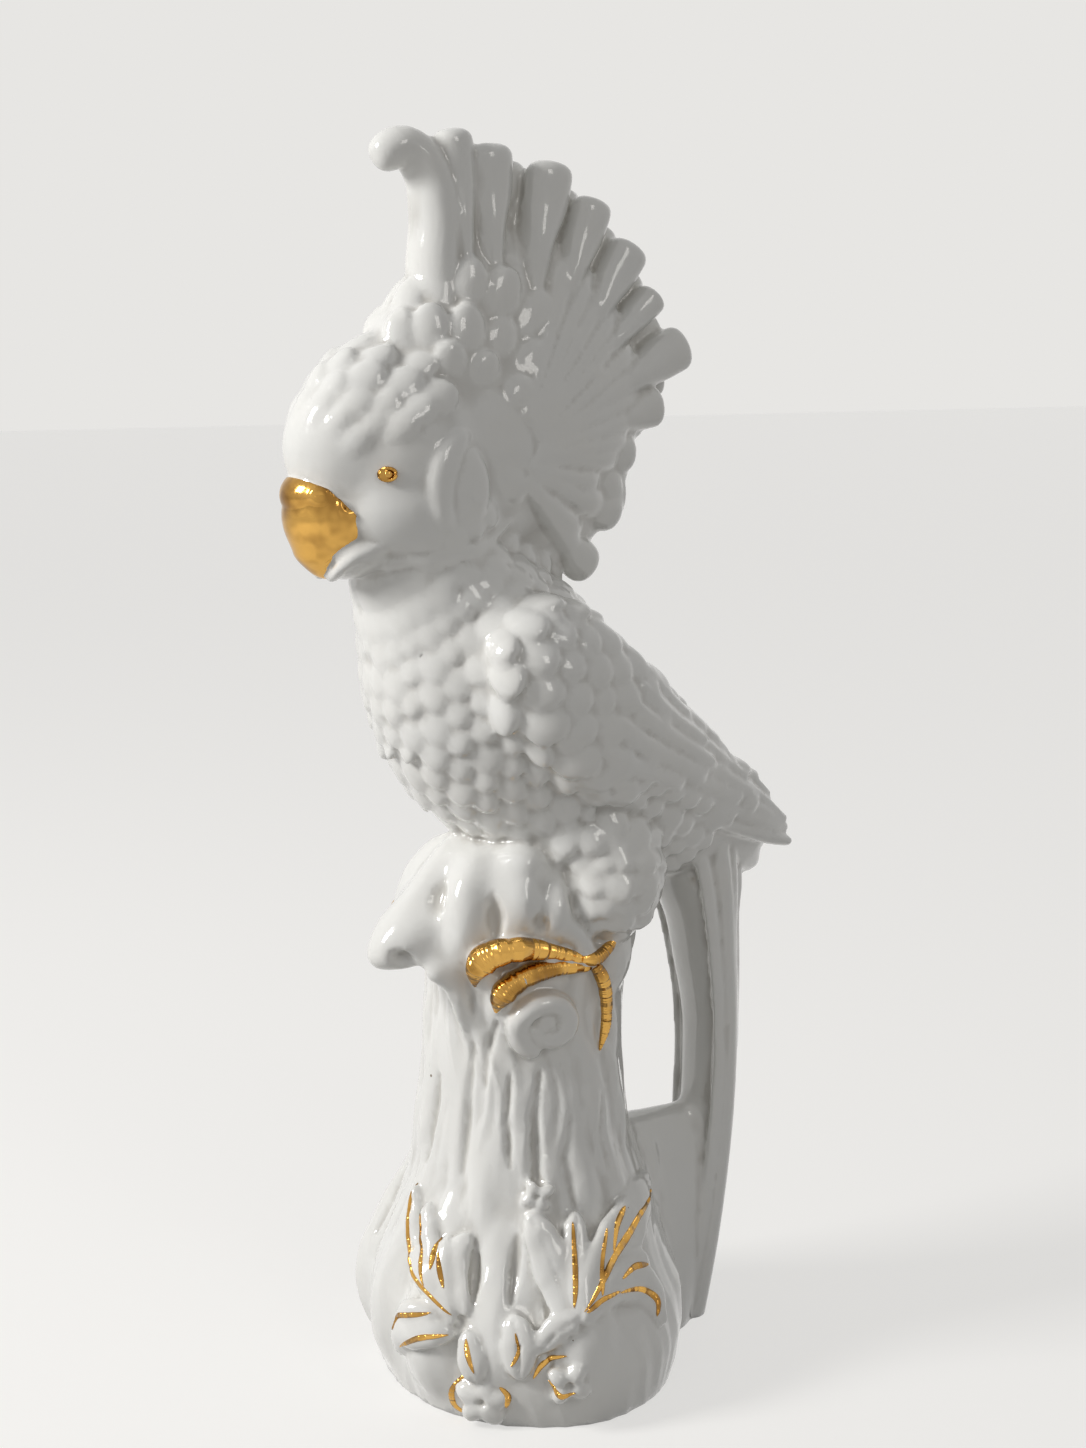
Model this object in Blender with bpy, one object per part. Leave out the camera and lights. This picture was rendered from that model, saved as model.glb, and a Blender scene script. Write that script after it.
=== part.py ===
"""Cockatoo perched on a tree stump, one slip-cast and glazed piece, as one closed solid.

Metres, +Z up. The bird faces -Y and its left side is +X. The origin lies under the
middle of the stump, on the flat underside.
"""

import math

import bmesh
import bpy
from mathutils import Matrix, Vector, noise
from mathutils.bvhtree import BVHTree

MM = 0.001
SIDE = Vector((1, 0, 0))
UP = Vector((0, 0, 1))

# Driving sizes of the stump
BASE_HALF_WIDTH = 52 * MM
BASE_HALF_DEPTH = 46 * MM
BASE_SHIFT = 4 * MM
MOUND_HEIGHT = 24 * MM
TRUNK_RADIUS = 26.5 * MM
TRUNK_SET_BACK = 5 * MM
PERCH_HEIGHT = 122 * MM
STUMP_TOP_RISE = 34 * MM
BARK_DEPTH = 1 * MM
BARK_PITCH = 16 * MM
ROOT_RADIUS = 11 * MM
KNOT_RADIUS = 7.6 * MM
KNOT_RIM = 3 * MM
STUB_LENGTH = 36 * MM
STUB_RADIUS = 13.5 * MM
LEAF_RISE = 2.2 * MM

# Driving sizes of the bird
NECK_RISE = 103 * MM
NECK_FORWARD = 13 * MM
BODY_SLOPE = 51
CHEST_HALF_WIDTH = 34 * MM
CHEST_HALF_DEPTH = 36 * MM
BODY_LENGTH = 130 * MM
HEAD_RISE = 40 * MM
HEAD_FORWARD = 24 * MM
HEAD_HALF_WIDTH = 25 * MM
HEAD_HALF_LENGTH = 31 * MM
HEAD_HALF_HEIGHT = 33 * MM
BEAK_HALF_WIDTH = 16.2 * MM
EYE_RADIUS = 2.4 * MM
CREST_REACH = 88 * MM
CREST_HALF_WIDTH = 7.2 * MM
CREST_HALF_THICKNESS = 4.4 * MM
CREST_ROW_OFFSET = 3.4 * MM
WING_HALF_THICKNESS = 9 * MM
WING_HALF_WIDTH = 23 * MM
TAIL_HALF_WIDTH = 9 * MM
TAIL_HALF_THICKNESS = 4.6 * MM
THIGH_RADIUS = 13 * MM
TOE_RADIUS = 3.7 * MM
SCALE_PITCH = 11.5 * MM
SCALE_RISE = 2.4 * MM
SCALE_TILT = math.radians(18)

# How finely the fused skin is meshed
CORE_CELL = 2 * MM
CORE_SOFTENING = 14
SKIN_CELL = 1.4 * MM
SKIN_TRIANGLES = 12100
SINK = 5 * MM


def mm(x, y, z):
    """A point or offset written in millimetres."""
    return Vector((x, y, z)) * MM


PERCH = Vector((0, 0, PERCH_HEIGHT))
BODY_AXIS = Vector((0, math.cos(math.radians(BODY_SLOPE)), -math.sin(math.radians(BODY_SLOPE))))
BODY_BACK = Vector((0, math.sin(math.radians(BODY_SLOPE)), math.cos(math.radians(BODY_SLOPE))))
NECK = PERCH + Vector((0, -NECK_FORWARD, NECK_RISE))
HEAD = NECK + Vector((0, -HEAD_FORWARD, HEAD_RISE))
FAN = HEAD + Vector((0, HEAD_HALF_LENGTH, HEAD_HALF_HEIGHT * 0.06))


def body_point(along, back, side=0):
    """A point from the neck: a share of the way down the body, off its axis to the back and left."""
    return NECK + along * BODY_LENGTH * BODY_AXIS + back * BODY_BACK + side * SIDE


def head_point(side, ahead, up):
    """A point from the middle of the head, in shares of its half sizes."""
    return HEAD + Vector((side * HEAD_HALF_WIDTH, -ahead * HEAD_HALF_LENGTH, up * HEAD_HALF_HEIGHT))


def egg(bm, centre, radii, axes=None, fineness=3):
    """A closed ellipsoid. The columns of axes are the directions of its three radii."""
    turn = axes.to_4x4() if axes else Matrix.Identity(4)
    place = Matrix.Translation(centre) @ turn @ Matrix.Diagonal((*radii, 1))
    bmesh.ops.create_icosphere(bm, subdivisions=fineness, radius=1, matrix=place)


def facing(normal, flow):
    """Axes for a flat form on a surface: flow, side and outward normal as columns."""
    across = normal.cross(flow).normalized()
    ahead = across.cross(normal).normalized()
    return Matrix((ahead, across, normal)).transposed()


def bent(value, power):
    """A cosine or sine pushed outwards, for a squarer ring than an ellipse."""
    return math.copysign(abs(value) ** power, value)


def loft(bm, rings, sides=24, power=1.0):
    """A closed skin through rings of (centre, first axis, second axis) with lengths as radii."""
    def place(verts, ring):
        centre, first, second = ring
        for i, vert in enumerate(verts):
            turn = 2 * math.pi * i / sides
            vert.co = centre + bent(math.cos(turn), power) * first + bent(math.sin(turn), power) * second

    verts = bmesh.ops.create_circle(bm, cap_ends=True, segments=sides, radius=1)["verts"]
    made = list(verts)
    place(verts, rings[0])
    cap = verts[0].link_faces[0]
    for ring in rings[1:]:
        grown = bmesh.ops.extrude_face_region(bm, geom=[cap])["geom"]
        cap = next(g for g in grown if isinstance(g, bmesh.types.BMFace))
        fresh = {v for v in grown if isinstance(v, bmesh.types.BMVert)}
        verts = [next(e.other_vert(v) for e in v.link_edges if e.other_vert(v) in fresh) for v in verts]
        place(verts, ring)
        made += verts
    bmesh.ops.recalc_face_normals(bm, faces=list({f for v in made for f in v.link_faces}))


def along_path(points, share):
    """A point on the smooth curve through the points, at a share of the way."""
    spans = len(points) - 1
    place = min(max(share, 0), 1) * spans
    i = min(int(place), spans - 1)
    f = place - i
    before = points[max(i - 1, 0)]
    after = points[min(i + 2, spans)]
    here, there = points[i], points[i + 1]
    lead = (there - before) / 2
    trail = (after - here) / 2
    return ((2 * f**3 - 3 * f**2 + 1) * here + (f**3 - 2 * f**2 + f) * lead
            + (3 * f**2 - 2 * f**3) * there + (f**3 - f**2) * trail)


def between(values, share):
    """A value read off an evenly spaced list, at a share of the way."""
    spans = len(values) - 1
    i = min(int(share * spans), spans - 1)
    f = share * spans - i
    f = f * f * (3 - 2 * f)
    return values[i] * (1 - f) + values[i + 1] * f


def lobe(bm, points, widths, depths, face, steps=12, sides=16, power=1.0):
    """A round-ended limb or feather along a curve. Face is the way that its depth points."""
    rings = []
    length = sum((points[i + 1] - points[i]).length for i in range(len(points) - 1))
    tip_share = 0.04
    for i in range(steps + 1):
        share = 0.5 - 0.5 * math.cos(math.pi * i / steps)
        here = along_path(points, share)
        ahead = along_path(points, share + 0.01) - along_path(points, share - 0.01)
        across = ahead.cross(face).normalized()
        upward = across.cross(ahead).normalized()
        width, depth = between(widths, share), between(depths, share)
        end = min(0.45, max(width, depth) / length)
        near = min(1, min(share, 1 - share) / end)
        rounding = max(tip_share, math.sqrt(1 - (1 - near) ** 2))
        rings.append((here, across * width * rounding, upward * depth * rounding))
    loft(bm, rings, sides, power)


def in_pairs(bm, *builders):
    """Builds forms on the bird's left, and their mirror images on its right."""
    half = bmesh.new()
    for build in builders:
        build(half)
    mesh = bpy.data.meshes.new("half")
    half.to_mesh(mesh)
    bm.from_mesh(mesh)
    bmesh.ops.transform(half, matrix=Matrix.Scale(-1, 4, SIDE), verts=half.verts)
    bmesh.ops.reverse_faces(half, faces=half.faces)
    half.to_mesh(mesh)
    bm.from_mesh(mesh)
    bpy.data.meshes.remove(mesh)
    half.free()


def lay_scale(bm, skin, outside, inside, flow, half_length, half_width, rise, fineness=2):
    """One rounded feather where the line from outside to inside meets the skin, its tip lifted."""
    inward = (inside - outside).normalized()
    point, normal, _, _ = skin.ray_cast(outside, inward)
    if point is None:
        return
    if normal.dot(inward) > 0:
        normal = -normal
    lift = Matrix.Rotation(-SCALE_TILT * rise / SCALE_RISE, 3, normal.cross(flow).normalized())
    axes = lift @ facing(normal, flow)
    depth = rise * 1.9
    centre = point - normal * (depth - rise * 0.85) + axes.col[0] * half_length * 0.15
    egg(bm, centre, (half_length, half_width, depth), axes, fineness)


def torso(bm):
    """The egg-shaped body from inside the head to the rump."""
    profile = (
        (-0.31, -3, 0.44, 0.50),
        (-0.19, -4, 0.54, 0.60),
        (-0.09, -6, 0.67, 0.70),
        (0.00, -8, 0.83, 0.84),
        (0.12, -10, 0.94, 0.94),
        (0.25, -9, 1.00, 1.00),
        (0.40, -7, 1.00, 0.98),
        (0.58, -1, 0.88, 0.86),
        (0.77, 9, 0.58, 0.58),
        (0.92, 17, 0.28, 0.32),
        (1.00, 20, 0.08, 0.10),
    )
    rings = []
    for along, back, depth, width in profile:
        centre = body_point(along, back * MM)
        rings.append((centre, SIDE * width * CHEST_HALF_WIDTH, BODY_BACK * depth * CHEST_HALF_DEPTH))
    loft(bm, rings, 32)


def skull(bm):
    """The head, forehead, root of the crest and the fan's thick middle."""
    egg(bm, HEAD, (HEAD_HALF_WIDTH, HEAD_HALF_LENGTH, HEAD_HALF_HEIGHT), fineness=4)
    egg(bm, head_point(0, 0.34, 0.22), (20 * MM, 25 * MM, 24 * MM), fineness=4)
    egg(bm, head_point(0, 0.4, -0.3), (18.5 * MM, 19 * MM, 19 * MM), fineness=4)
    egg(bm, head_point(0, -0.5, 0.82), (17 * MM, 19 * MM, 27 * MM), fineness=4)
    egg(bm, head_point(0, -0.1, 0.42), (22 * MM, 27 * MM, 24 * MM), fineness=4)
    egg(bm, head_point(0, -0.85, -0.1), (17 * MM, 24 * MM, 28 * MM), fineness=4)
    egg(bm, FAN + mm(0, 4, 5), (11.5 * MM, 30 * MM, 43 * MM), fineness=4)


def mantle(bm):
    """The filled back between the folded wings."""
    axes = Matrix((SIDE, BODY_BACK, BODY_AXIS)).transposed()
    egg(bm, body_point(0.30, 13 * MM), (CHEST_HALF_WIDTH * 0.75, 13 * MM, BODY_LENGTH * 0.42), axes, 4)


def cheek(bm):
    """The full cheek with its lower edge, and the raised ear patch on it."""
    egg(bm, head_point(0.42, -0.1, -0.42), (14 * MM, 25 * MM, 15 * MM))
    ear = facing(Vector((0.96, -0.12, 0)).normalized(), UP)
    egg(bm, head_point(0.8, -0.42, -0.1), (17.5 * MM, 12.5 * MM, 7.6 * MM), ear)
    jaw = [head_point(0.35, 0.5, -0.78), head_point(0.7, 0.15, -0.76), head_point(0.86, -0.25, -0.68),
           head_point(0.84, -0.6, -0.46)]
    lobe(bm, jaw, [4 * MM] * 4, [4 * MM] * 4, UP)


def beak(bm):
    """The hooked upper beak and the small lower one under it."""
    half = BEAK_HALF_WIDTH
    egg(bm, head_point(0, 0.62, -0.36), (half, half * 1.08, half * 0.92), fineness=4)
    egg(bm, head_point(0, 0.50, -0.58), (half * 0.98, half * 1.0, half * 0.6), fineness=4)
    points = [head_point(0, 0.70, -0.40), head_point(0, 0.99, -0.56), head_point(0, 0.97, -0.78), head_point(0, 0.77, -0.98)]
    widths = [half * w for w in (0.95, 0.74, 0.5, 0.14)]
    depths = [half * d for d in (0.82, 0.66, 0.46, 0.14)]
    lobe(bm, points, widths, depths, UP + Vector((0, -1, 0)))
    egg(bm, head_point(0, 0.52, -0.84), (9 * MM, 11 * MM, 6 * MM), fineness=3)


def eye(bm):
    point, normal, _, _ = BIRD_SKIN.ray_cast(head_point(4, 0.13, -0.1), -SIDE)
    egg(bm, point - normal * EYE_RADIUS * 0.2, (EYE_RADIUS,) * 3, fineness=2)


# Crest feathers: angle from upright towards the back, share of the crest's reach, and breadth
CREST_FEATHERS = (
    (-10.5, 1.00, 1.05), (-0.5, 0.955, 1.2), (9.2, 0.92, 1.2), (22.7, 0.84, 0.98), (34.8, 0.795, 0.95),
    (49.6, 0.745, 0.85), (65.3, 0.775, 0.95), (78.9, 0.615, 0.95), (95.8, 0.47, 1.0), (120.6, 0.48, 1.1),
    (142, 0.55, 1.15),
)


def crest_feather(bm, angle, reach, breadth, offset):
    """One club-ended feather of the fan, bowed a little towards the front."""
    turn = math.radians(angle)
    out = Vector((0, math.sin(turn), math.cos(turn)))
    ahead = Vector((0, -math.cos(turn), math.sin(turn)))
    bow = reach * 0.03
    side = SIDE * offset
    points = [FAN + out * reach * 0.1,
              FAN + out * reach * 0.45 - ahead * bow + side * 0.9,
              FAN + out * reach * 0.75 - ahead * bow * 0.6 + side,
              FAN + out * reach + ahead * bow + side]
    widths = [CREST_HALF_WIDTH * breadth * w for w in (0.6, 0.84, 1.0, 1.0)]
    depths = [CREST_HALF_THICKNESS * d for d in (2.4, 1.7, 1.15, 1.0)]
    lobe(bm, points, widths, depths, SIDE, 14, 14)


def crest(bm):
    """Two staggered rows of feathers in a fan, and the broad front one that curls forward."""
    for i, (angle, share, breadth) in enumerate(CREST_FEATHERS):
        crest_feather(bm, angle, share * CREST_REACH, breadth, CREST_ROW_OFFSET)
        if i:
            last_angle, last_share, _ = CREST_FEATHERS[i - 1]
            shorter = (share + last_share) / 2 * CREST_REACH - 3.5 * MM
            crest_feather(bm, (angle + last_angle) / 2, shorter, breadth, -CREST_ROW_OFFSET)
    tall = CREST_REACH
    curl = [FAN + Vector((0, -0.17, 0.36)) * tall, FAN + Vector((0, -0.165, 0.6)) * tall,
            FAN + Vector((0, -0.175, 0.78)) * tall, FAN + Vector((0, -0.25, 0.895)) * tall,
            FAN + Vector((0, -0.38, 0.91)) * tall]
    widths = [9.5 * MM, 8.2 * MM, 7.6 * MM, 6.6 * MM, 5.2 * MM]
    depths = [10 * MM, 8.5 * MM, 9 * MM, 9.5 * MM, 8 * MM]
    lobe(bm, curl, widths, depths, SIDE, 18, 18)


# The folded wing's middle line from shoulder to tip: share down the body, off its axis, share of the chest's width
WING_LINE = ((-0.03, -6, 0.86), (0.14, -3, 0.95), (0.31, 3, 0.93), (0.50, 12, 0.76), (0.71, 21, 0.50), (0.96, 31, 0.22))
WING_WIDTHS = (0.70, 0.95, 1.04, 0.80, 0.46, 0.16)
WING_DEPTHS = (0.95, 1.0, 1.0, 0.86, 0.66, 0.36)
WING_FACE = Vector((1, 0.14, 0.18)).normalized()


def wing_spine():
    return [body_point(along, back * MM, side * CHEST_HALF_WIDTH) for along, back, side in WING_LINE]


def wing_flow(share):
    """The way along the wing towards its tip."""
    spine = wing_spine()
    return (along_path(spine, share + 0.02) - along_path(spine, share - 0.02)).normalized()


def wing_point(share, across=0.0, out=0.0):
    """A point on the wing's middle line, moved across by a share of its half width and out from the body."""
    upward = WING_FACE.cross(wing_flow(share)).normalized()
    half = between(WING_WIDTHS, share) * WING_HALF_WIDTH
    return along_path(wing_spine(), share) + upward * across * half + WING_FACE * out


def wing(bm):
    """The folded wing's solid form, without its feathers."""
    widths = [w * WING_HALF_WIDTH for w in WING_WIDTHS]
    depths = [d * WING_HALF_THICKNESS for d in WING_DEPTHS]
    lobe(bm, wing_spine(), widths, depths, WING_FACE, 18, 24, 0.8)


# Rows of long wing feathers: where they start and end along the wing, where they lie across it, lift
WING_QUILLS = (
    (0.40, 0.68, (0.62, 0.16, -0.30), 2.2), (0.50, 0.82, (0.66, 0.20, -0.26), 1.3),
    (0.55, 0.93, (0.60, 0.12, -0.34), 0.5), (0.60, 1.00, (0.30, -0.25), -0.3), (0.28, 0.97, (-0.80,), -0.6),
)


def quills(bm):
    """The long feathers behind the coverts, lapped like slates."""
    for start, end, places, lift in WING_QUILLS:
        for across in places:
            points = []
            widths = []
            for k in range(5):
                share = start + (end - start) * k / 4
                surface = between(WING_DEPTHS, share) * WING_HALF_THICKNESS * (1 - across * across) ** 0.4
                points.append(wing_point(share, across, surface + (lift - 1.2) * MM))
                widths.append(between(WING_WIDTHS, share) * WING_HALF_WIDTH * 0.27 + 0.8 * MM)
            lobe(bm, points, widths, [2.0 * MM] * 5, WING_FACE, 12, 12)


def thigh(bm):
    egg(bm, PERCH + mm(24.5, 17, 25), (THIGH_RADIUS, THIGH_RADIUS * 1.12, THIGH_RADIUS * 1.35),
        Matrix.Rotation(math.radians(-12), 3, SIDE), 4)
    egg(bm, PERCH + mm(20, 14, 38), (THIGH_RADIUS, THIGH_RADIUS * 1.4, THIGH_RADIUS), None, 4)


def tail_points():
    """The tail's middle line, from inside the rump to below the ground."""
    rump = body_point(0.72, 14 * MM)
    fall = rump.z + SINK
    line = ((0, 0), (7, 0.13), (11.6, 0.26), (14, 0.43), (11.2, 0.61), (7.7, 0.8), (4.2, 1))
    return [rump + Vector((0, back * MM, -drop * fall)) for back, drop in line]


def tail(bm):
    """The long tail that hangs behind the stump down to the ground."""
    points = tail_points()
    widths = [TAIL_HALF_WIDTH * w for w in (1.9, 1.55, 1.1, 1.0, 1.0, 1.0, 1.0)]
    depths = [TAIL_HALF_THICKNESS * d for d in (3.4, 2.3, 1.3, 0.95, 1.05, 1.2, 1.2)]
    away = Vector((0, 1, 0.1))
    lobe(bm, points, widths, depths, away, 20, 20)
    for side, reach in ((0.66, 1.0), (-0.66, 1.0), (0, 1.0), (0.36, 0.5), (-0.36, 0.5)):
        strand = []
        for k in range(6):
            share = 0.1 + (reach - 0.1) * k / 5
            back = between(depths, share) * 0.8
            strand.append(along_path(points, share) + Vector((side * between(widths, share), back, 0)))
        lobe(bm, strand, [3.4 * MM] * 4, [2.6 * MM] * 4, away, 14, 10)


def rump_feathers(bm):
    """Short feathers over the root of the tail, between the wing tips."""
    for side, reach, back in ((0, 0.97, 18), (7, 0.9, 15), (-7, 0.9, 15), (3.5, 0.84, 20), (-3.5, 0.84, 20)):
        start = body_point(0.6, 14 * MM, side * MM)
        end = body_point(reach, back * MM, side * MM * 0.8)
        lobe(bm, [start, (start + end) / 2, end], [8 * MM, 7 * MM, 5 * MM], [7 * MM, 5 * MM, 3.5 * MM], BODY_BACK)


def foot(bm):
    """Two toes forward, one back and the spur, wrapped round the stump. Each point is an angle and a height."""
    lines = (
        (((6, 2.5), (-20, 8), (-42, 10), (-54, 6), (-57, -1)), (0.7, 0.9, 1.05, 0.9, 0.3)),
        (((5, 2), (-19, 2.5), (-38, 0), (-45, -8)), (0.7, 1.0, 1.05, 0.3)),
        (((6, 2), (11, -3), (17, -11), (18, -24)), (0.8, 0.9, 0.8, 0.3)),
        (((5, 2.5), (14, 4.5), (23, 6), (32, 9)), (0.7, 0.8, 0.6, 0.3)),
    )
    for points, sizes in lines:
        radii = [TOE_RADIUS * size for size in sizes]
        path = [on_stump(angle, PERCH_HEIGHT + rise * MM, r * 0.75) for (angle, rise), r in zip(points, radii)]
        lobe(bm, path, radii, radii, SIDE, 14, 12)


def stump_ring(height, back, half_width, half_depth, shift=0.0):
    return (Vector((shift * BASE_SHIFT, back * TRUNK_SET_BACK, height)), SIDE * half_width, Vector((0, half_depth, 0)))


def stump_rings():
    waist = PERCH_HEIGHT * 0.76
    rise = waist - MOUND_HEIGHT
    w, d, r = BASE_HALF_WIDTH, BASE_HALF_DEPTH, TRUNK_RADIUS
    return [
        stump_ring(-SINK, 0.2, w * 0.98, d * 0.96, 1),
        stump_ring(MOUND_HEIGHT * 0.12, 0.2, w, d * 0.98, 1),
        stump_ring(MOUND_HEIGHT * 0.55, 0.2, w, d, 1),
        stump_ring(MOUND_HEIGHT, 0.3, w * 0.97, d * 0.99, 0.8),
        stump_ring(MOUND_HEIGHT + rise * 0.2, 0.5, w * 0.83, d * 0.88, 0.5),
        stump_ring(MOUND_HEIGHT + rise * 0.45, 0.8, r * 1.30, r * 1.26),
        stump_ring(MOUND_HEIGHT + rise * 0.7, 1, r * 1.08, r * 1.06),
        stump_ring(waist, 1, r, r),
        stump_ring(PERCH_HEIGHT * 0.88, 1, r * 1.02, r),
        stump_ring(PERCH_HEIGHT, 0.8, r * 1.04, r * 1.04),
        stump_ring(PERCH_HEIGHT + STUMP_TOP_RISE * 0.4, 0, r * 0.92, r * 1.0),
        stump_ring(PERCH_HEIGHT + STUMP_TOP_RISE * 0.75, -0.6, r * 0.7, r * 0.8),
        stump_ring(PERCH_HEIGHT + STUMP_TOP_RISE, -0.8, r * 0.4, r * 0.45),
    ]


def stump(bm):
    """Trunk and mound, from below the ground to inside the bird's belly."""
    loft(bm, stump_rings(), 40)


def on_stump(angle, height, out=0.0):
    """A point at an angle round the stump, at a height, as far out as the bark there."""
    turn = math.radians(angle)
    away = Vector((math.cos(turn), math.sin(turn), 0))
    middle = Vector((0, TRUNK_SET_BACK, height))
    point, normal, _, _ = STUMP_SKIN.ray_cast(middle + away * 0.2, -away)
    return point + away * out


def mound_radius(angle, height):
    """How far the stump's plain form reaches, before its roots and bark."""
    rings = stump_rings()
    lower = max((r for r in rings if r[0].z <= height), key=lambda r: r[0].z)
    upper = min((r for r in rings if r[0].z > height), key=lambda r: r[0].z)
    f = (height - lower[0].z) / (upper[0].z - lower[0].z)
    half_width = lower[1].x * (1 - f) + upper[1].x * f
    half_depth = lower[2].y * (1 - f) + upper[2].y * f
    turn = math.radians(angle)
    return 1 / math.hypot(math.cos(turn) / half_width, math.sin(turn) / half_depth)


# Roots that flare over the mound: angle at the ground, turn on the way up, top height, reach, thickness
ROOTS = (
    (-8, 6, 66, 2.0, 1.1), (-52, -5, 60, 1.5, 1.1), (-92, 4, 70, -1.0, 1.0), (-128, -6, 58, 0.0, 1.0),
    (-165, 7, 66, 0.5, 1.1), (150, -6, 60, 0.5, 1.0), (116, 5, 56, 0.0, 0.9), (64, -5, 60, 0.5, 0.9),
    (28, 6, 72, 0.5, 1.0),
)


def roots(bm):
    """Lobes that flare from the trunk over the mound."""
    for angle, swing, high, reach, thick in ROOTS:
        points = []
        radii = []
        for turned, height, inset, size in ((1.5, high, 4, 0.45), (1.0, 44, 6.5, 0.72), (0.3, 22, 8 - reach, 1.0), (0, 3, 8.5 - reach, 1.0)):
            at = angle + swing * turned
            out = mound_radius(at, height * MM) - inset * MM
            points.append(Vector((math.cos(math.radians(at)) * out, math.sin(math.radians(at)) * out, height * MM)))
            radii.append(ROOT_RADIUS * thick * size)
        away = Vector((math.cos(math.radians(angle)), math.sin(math.radians(angle)), 0))
        lobe(bm, points, radii, radii, away, 12, 14)


def knot(bm):
    """The scroll-shaped knot where a branch healed over, below the left foot."""
    angle, height = -22, PERCH_HEIGHT * 0.89
    curl = []
    for k in range(12):
        turn = math.radians(250 - 34 * k)
        reach = KNOT_RADIUS * (1 - 0.05 * k)
        turned = math.degrees(reach * math.cos(turn) / TRUNK_RADIUS)
        curl.append(on_stump(angle + turned, height + reach * math.sin(turn) * 1.05, KNOT_RIM * 0.35))
    outward = Vector((math.cos(math.radians(angle)), math.sin(math.radians(angle)), 0))
    rims = [KNOT_RIM, KNOT_RIM, KNOT_RIM * 0.8]
    lobe(bm, curl, rims, rims, outward, 40, 12)
    egg(bm, on_stump(angle, height), (KNOT_RADIUS * 0.45,) * 3, fineness=2)


def stub(bm):
    """The broken branch at the front, pointing forward and down."""
    start = PERCH + mm(3, -12, 19)
    heading = Vector((0.10, -0.90, -0.42)).normalized()
    middle = start + heading * STUB_LENGTH * 0.5 + mm(0, 0, 1)
    end = start + heading * (STUB_LENGTH + 3 * MM) + mm(0, 0, -4)
    lobe(bm, [start, middle, end], [STUB_RADIUS * k for k in (1.15, 0.85, 0.42)],
         [STUB_RADIUS * k for k in (1.2, 0.85, 0.42)], UP, 12, 16)


# Burrs on top of the stump, round the belly: place from the perch and radii
BURRS = (
    (mm(6, -16, 22), mm(13, 9, 12)), (mm(-9, -17, 20), mm(12, 10, 12)), (mm(18, -12, 13), mm(10, 10, 12)),
    (mm(-20, -8, 10), mm(10, 13, 12)), (mm(19, -2, -8), mm(10, 20, 12)), (mm(-20, 2, -8), mm(10, 18, 12)),
    (mm(2, 22, 4), mm(16, 10, 13)), (mm(21, 14, 2), mm(9, 11, 14)), (mm(-21, 14, 2), mm(9, 11, 14)),
)


def burrs(bm):
    for centre, radii in BURRS:
        egg(bm, PERCH + centre, radii, fineness=2)


def web(bm):
    """The wall of bark that ties the tail's lower half to the stump."""
    rings = []
    for height, half in ((-SINK, 1.7), (8 * MM, 1.6), (22 * MM, 1.45), (40 * MM, 1.3), (54 * MM, 1.1), (63 * MM, 0.8)):
        share = 1 - (height + SINK) / (tail_points()[0].z + SINK)
        tail_y = along_path(tail_points(), min(1, share)).y
        near = TRUNK_RADIUS * 0.5
        rings.append((Vector((0, (tail_y + near) / 2, height)), SIDE * half * TAIL_HALF_WIDTH,
                      Vector((0, (tail_y - near) / 2 + 2 * MM, 0))))
    loft(bm, rings, 20)


def chest_scales(bm):
    """Rounded feathers on the breast, belly, flanks and back, in staggered rows."""
    row_step = SCALE_PITCH * 0.82
    round_count = round(2 * math.pi * CHEST_HALF_DEPTH / SCALE_PITCH)
    half_width = SCALE_PITCH * 0.54
    for row in range(round(BODY_LENGTH * 0.8 / row_step)):
        centre = body_point(-0.03 + row * row_step / BODY_LENGTH, -7 * MM)
        for k in range(round_count):
            turn = 2 * math.pi * (k + 0.5 * (row % 2)) / round_count
            out = math.sin(turn) * SIDE - math.cos(turn) * BODY_BACK
            rise = SCALE_RISE * min(1, 0.3 + 0.22 * row)
            lay_scale(bm, BIRD_SKIN, centre + out * 90 * MM, centre, BODY_AXIS, SCALE_PITCH * 0.7, half_width, rise)


def head_scales(bm):
    """Small feathers on the brow, growing towards the crest."""
    axis = Vector((0, -0.93, -0.37)).normalized()
    upward = SIDE.cross(axis).normalized()
    polar = math.radians(48)
    half = SCALE_PITCH * 0.36
    row = 0
    while polar < math.radians(112):
        count = max(6, int(math.sin(polar) * HEAD_HALF_LENGTH * 6.28 / (half * 1.95)))
        for k in range(count):
            turn = 2 * math.pi * (k + 0.5 * (row % 2)) / count
            out = math.cos(polar) * axis + math.sin(polar) * (math.cos(turn) * upward + math.sin(turn) * SIDE)
            if out.z < 0.25 or (polar > 1.5 and abs(out.x) < 0.3):
                continue
            flow = (out * math.cos(polar) - axis).normalized()
            rise = SCALE_RISE * min(1, 0.5 + 0.09 * row)
            lay_scale(bm, BIRD_SKIN, HEAD + out * 80 * MM, HEAD, flow, half * 1.25, half, rise)
        polar += half * 1.75 / HEAD_HALF_LENGTH
        half *= 1.12
        row += 1


def crest_root_scales(bm):
    """Two arcs of large rounded feathers where the crest leaves the head."""
    for reach, first, last, count in ((34, -8, 78, 6), (46, 6, 74, 6)):
        for k in range(count):
            turn = math.radians(first + (last - first) * k / (count - 1))
            out = Vector((0, math.sin(turn), math.cos(turn)))
            inside = HEAD + out * reach * MM
            lay_scale(bm, BIRD_SKIN, inside + SIDE * 50 * MM, inside, out, 7.2 * MM, 6.2 * MM, SCALE_RISE)


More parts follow.
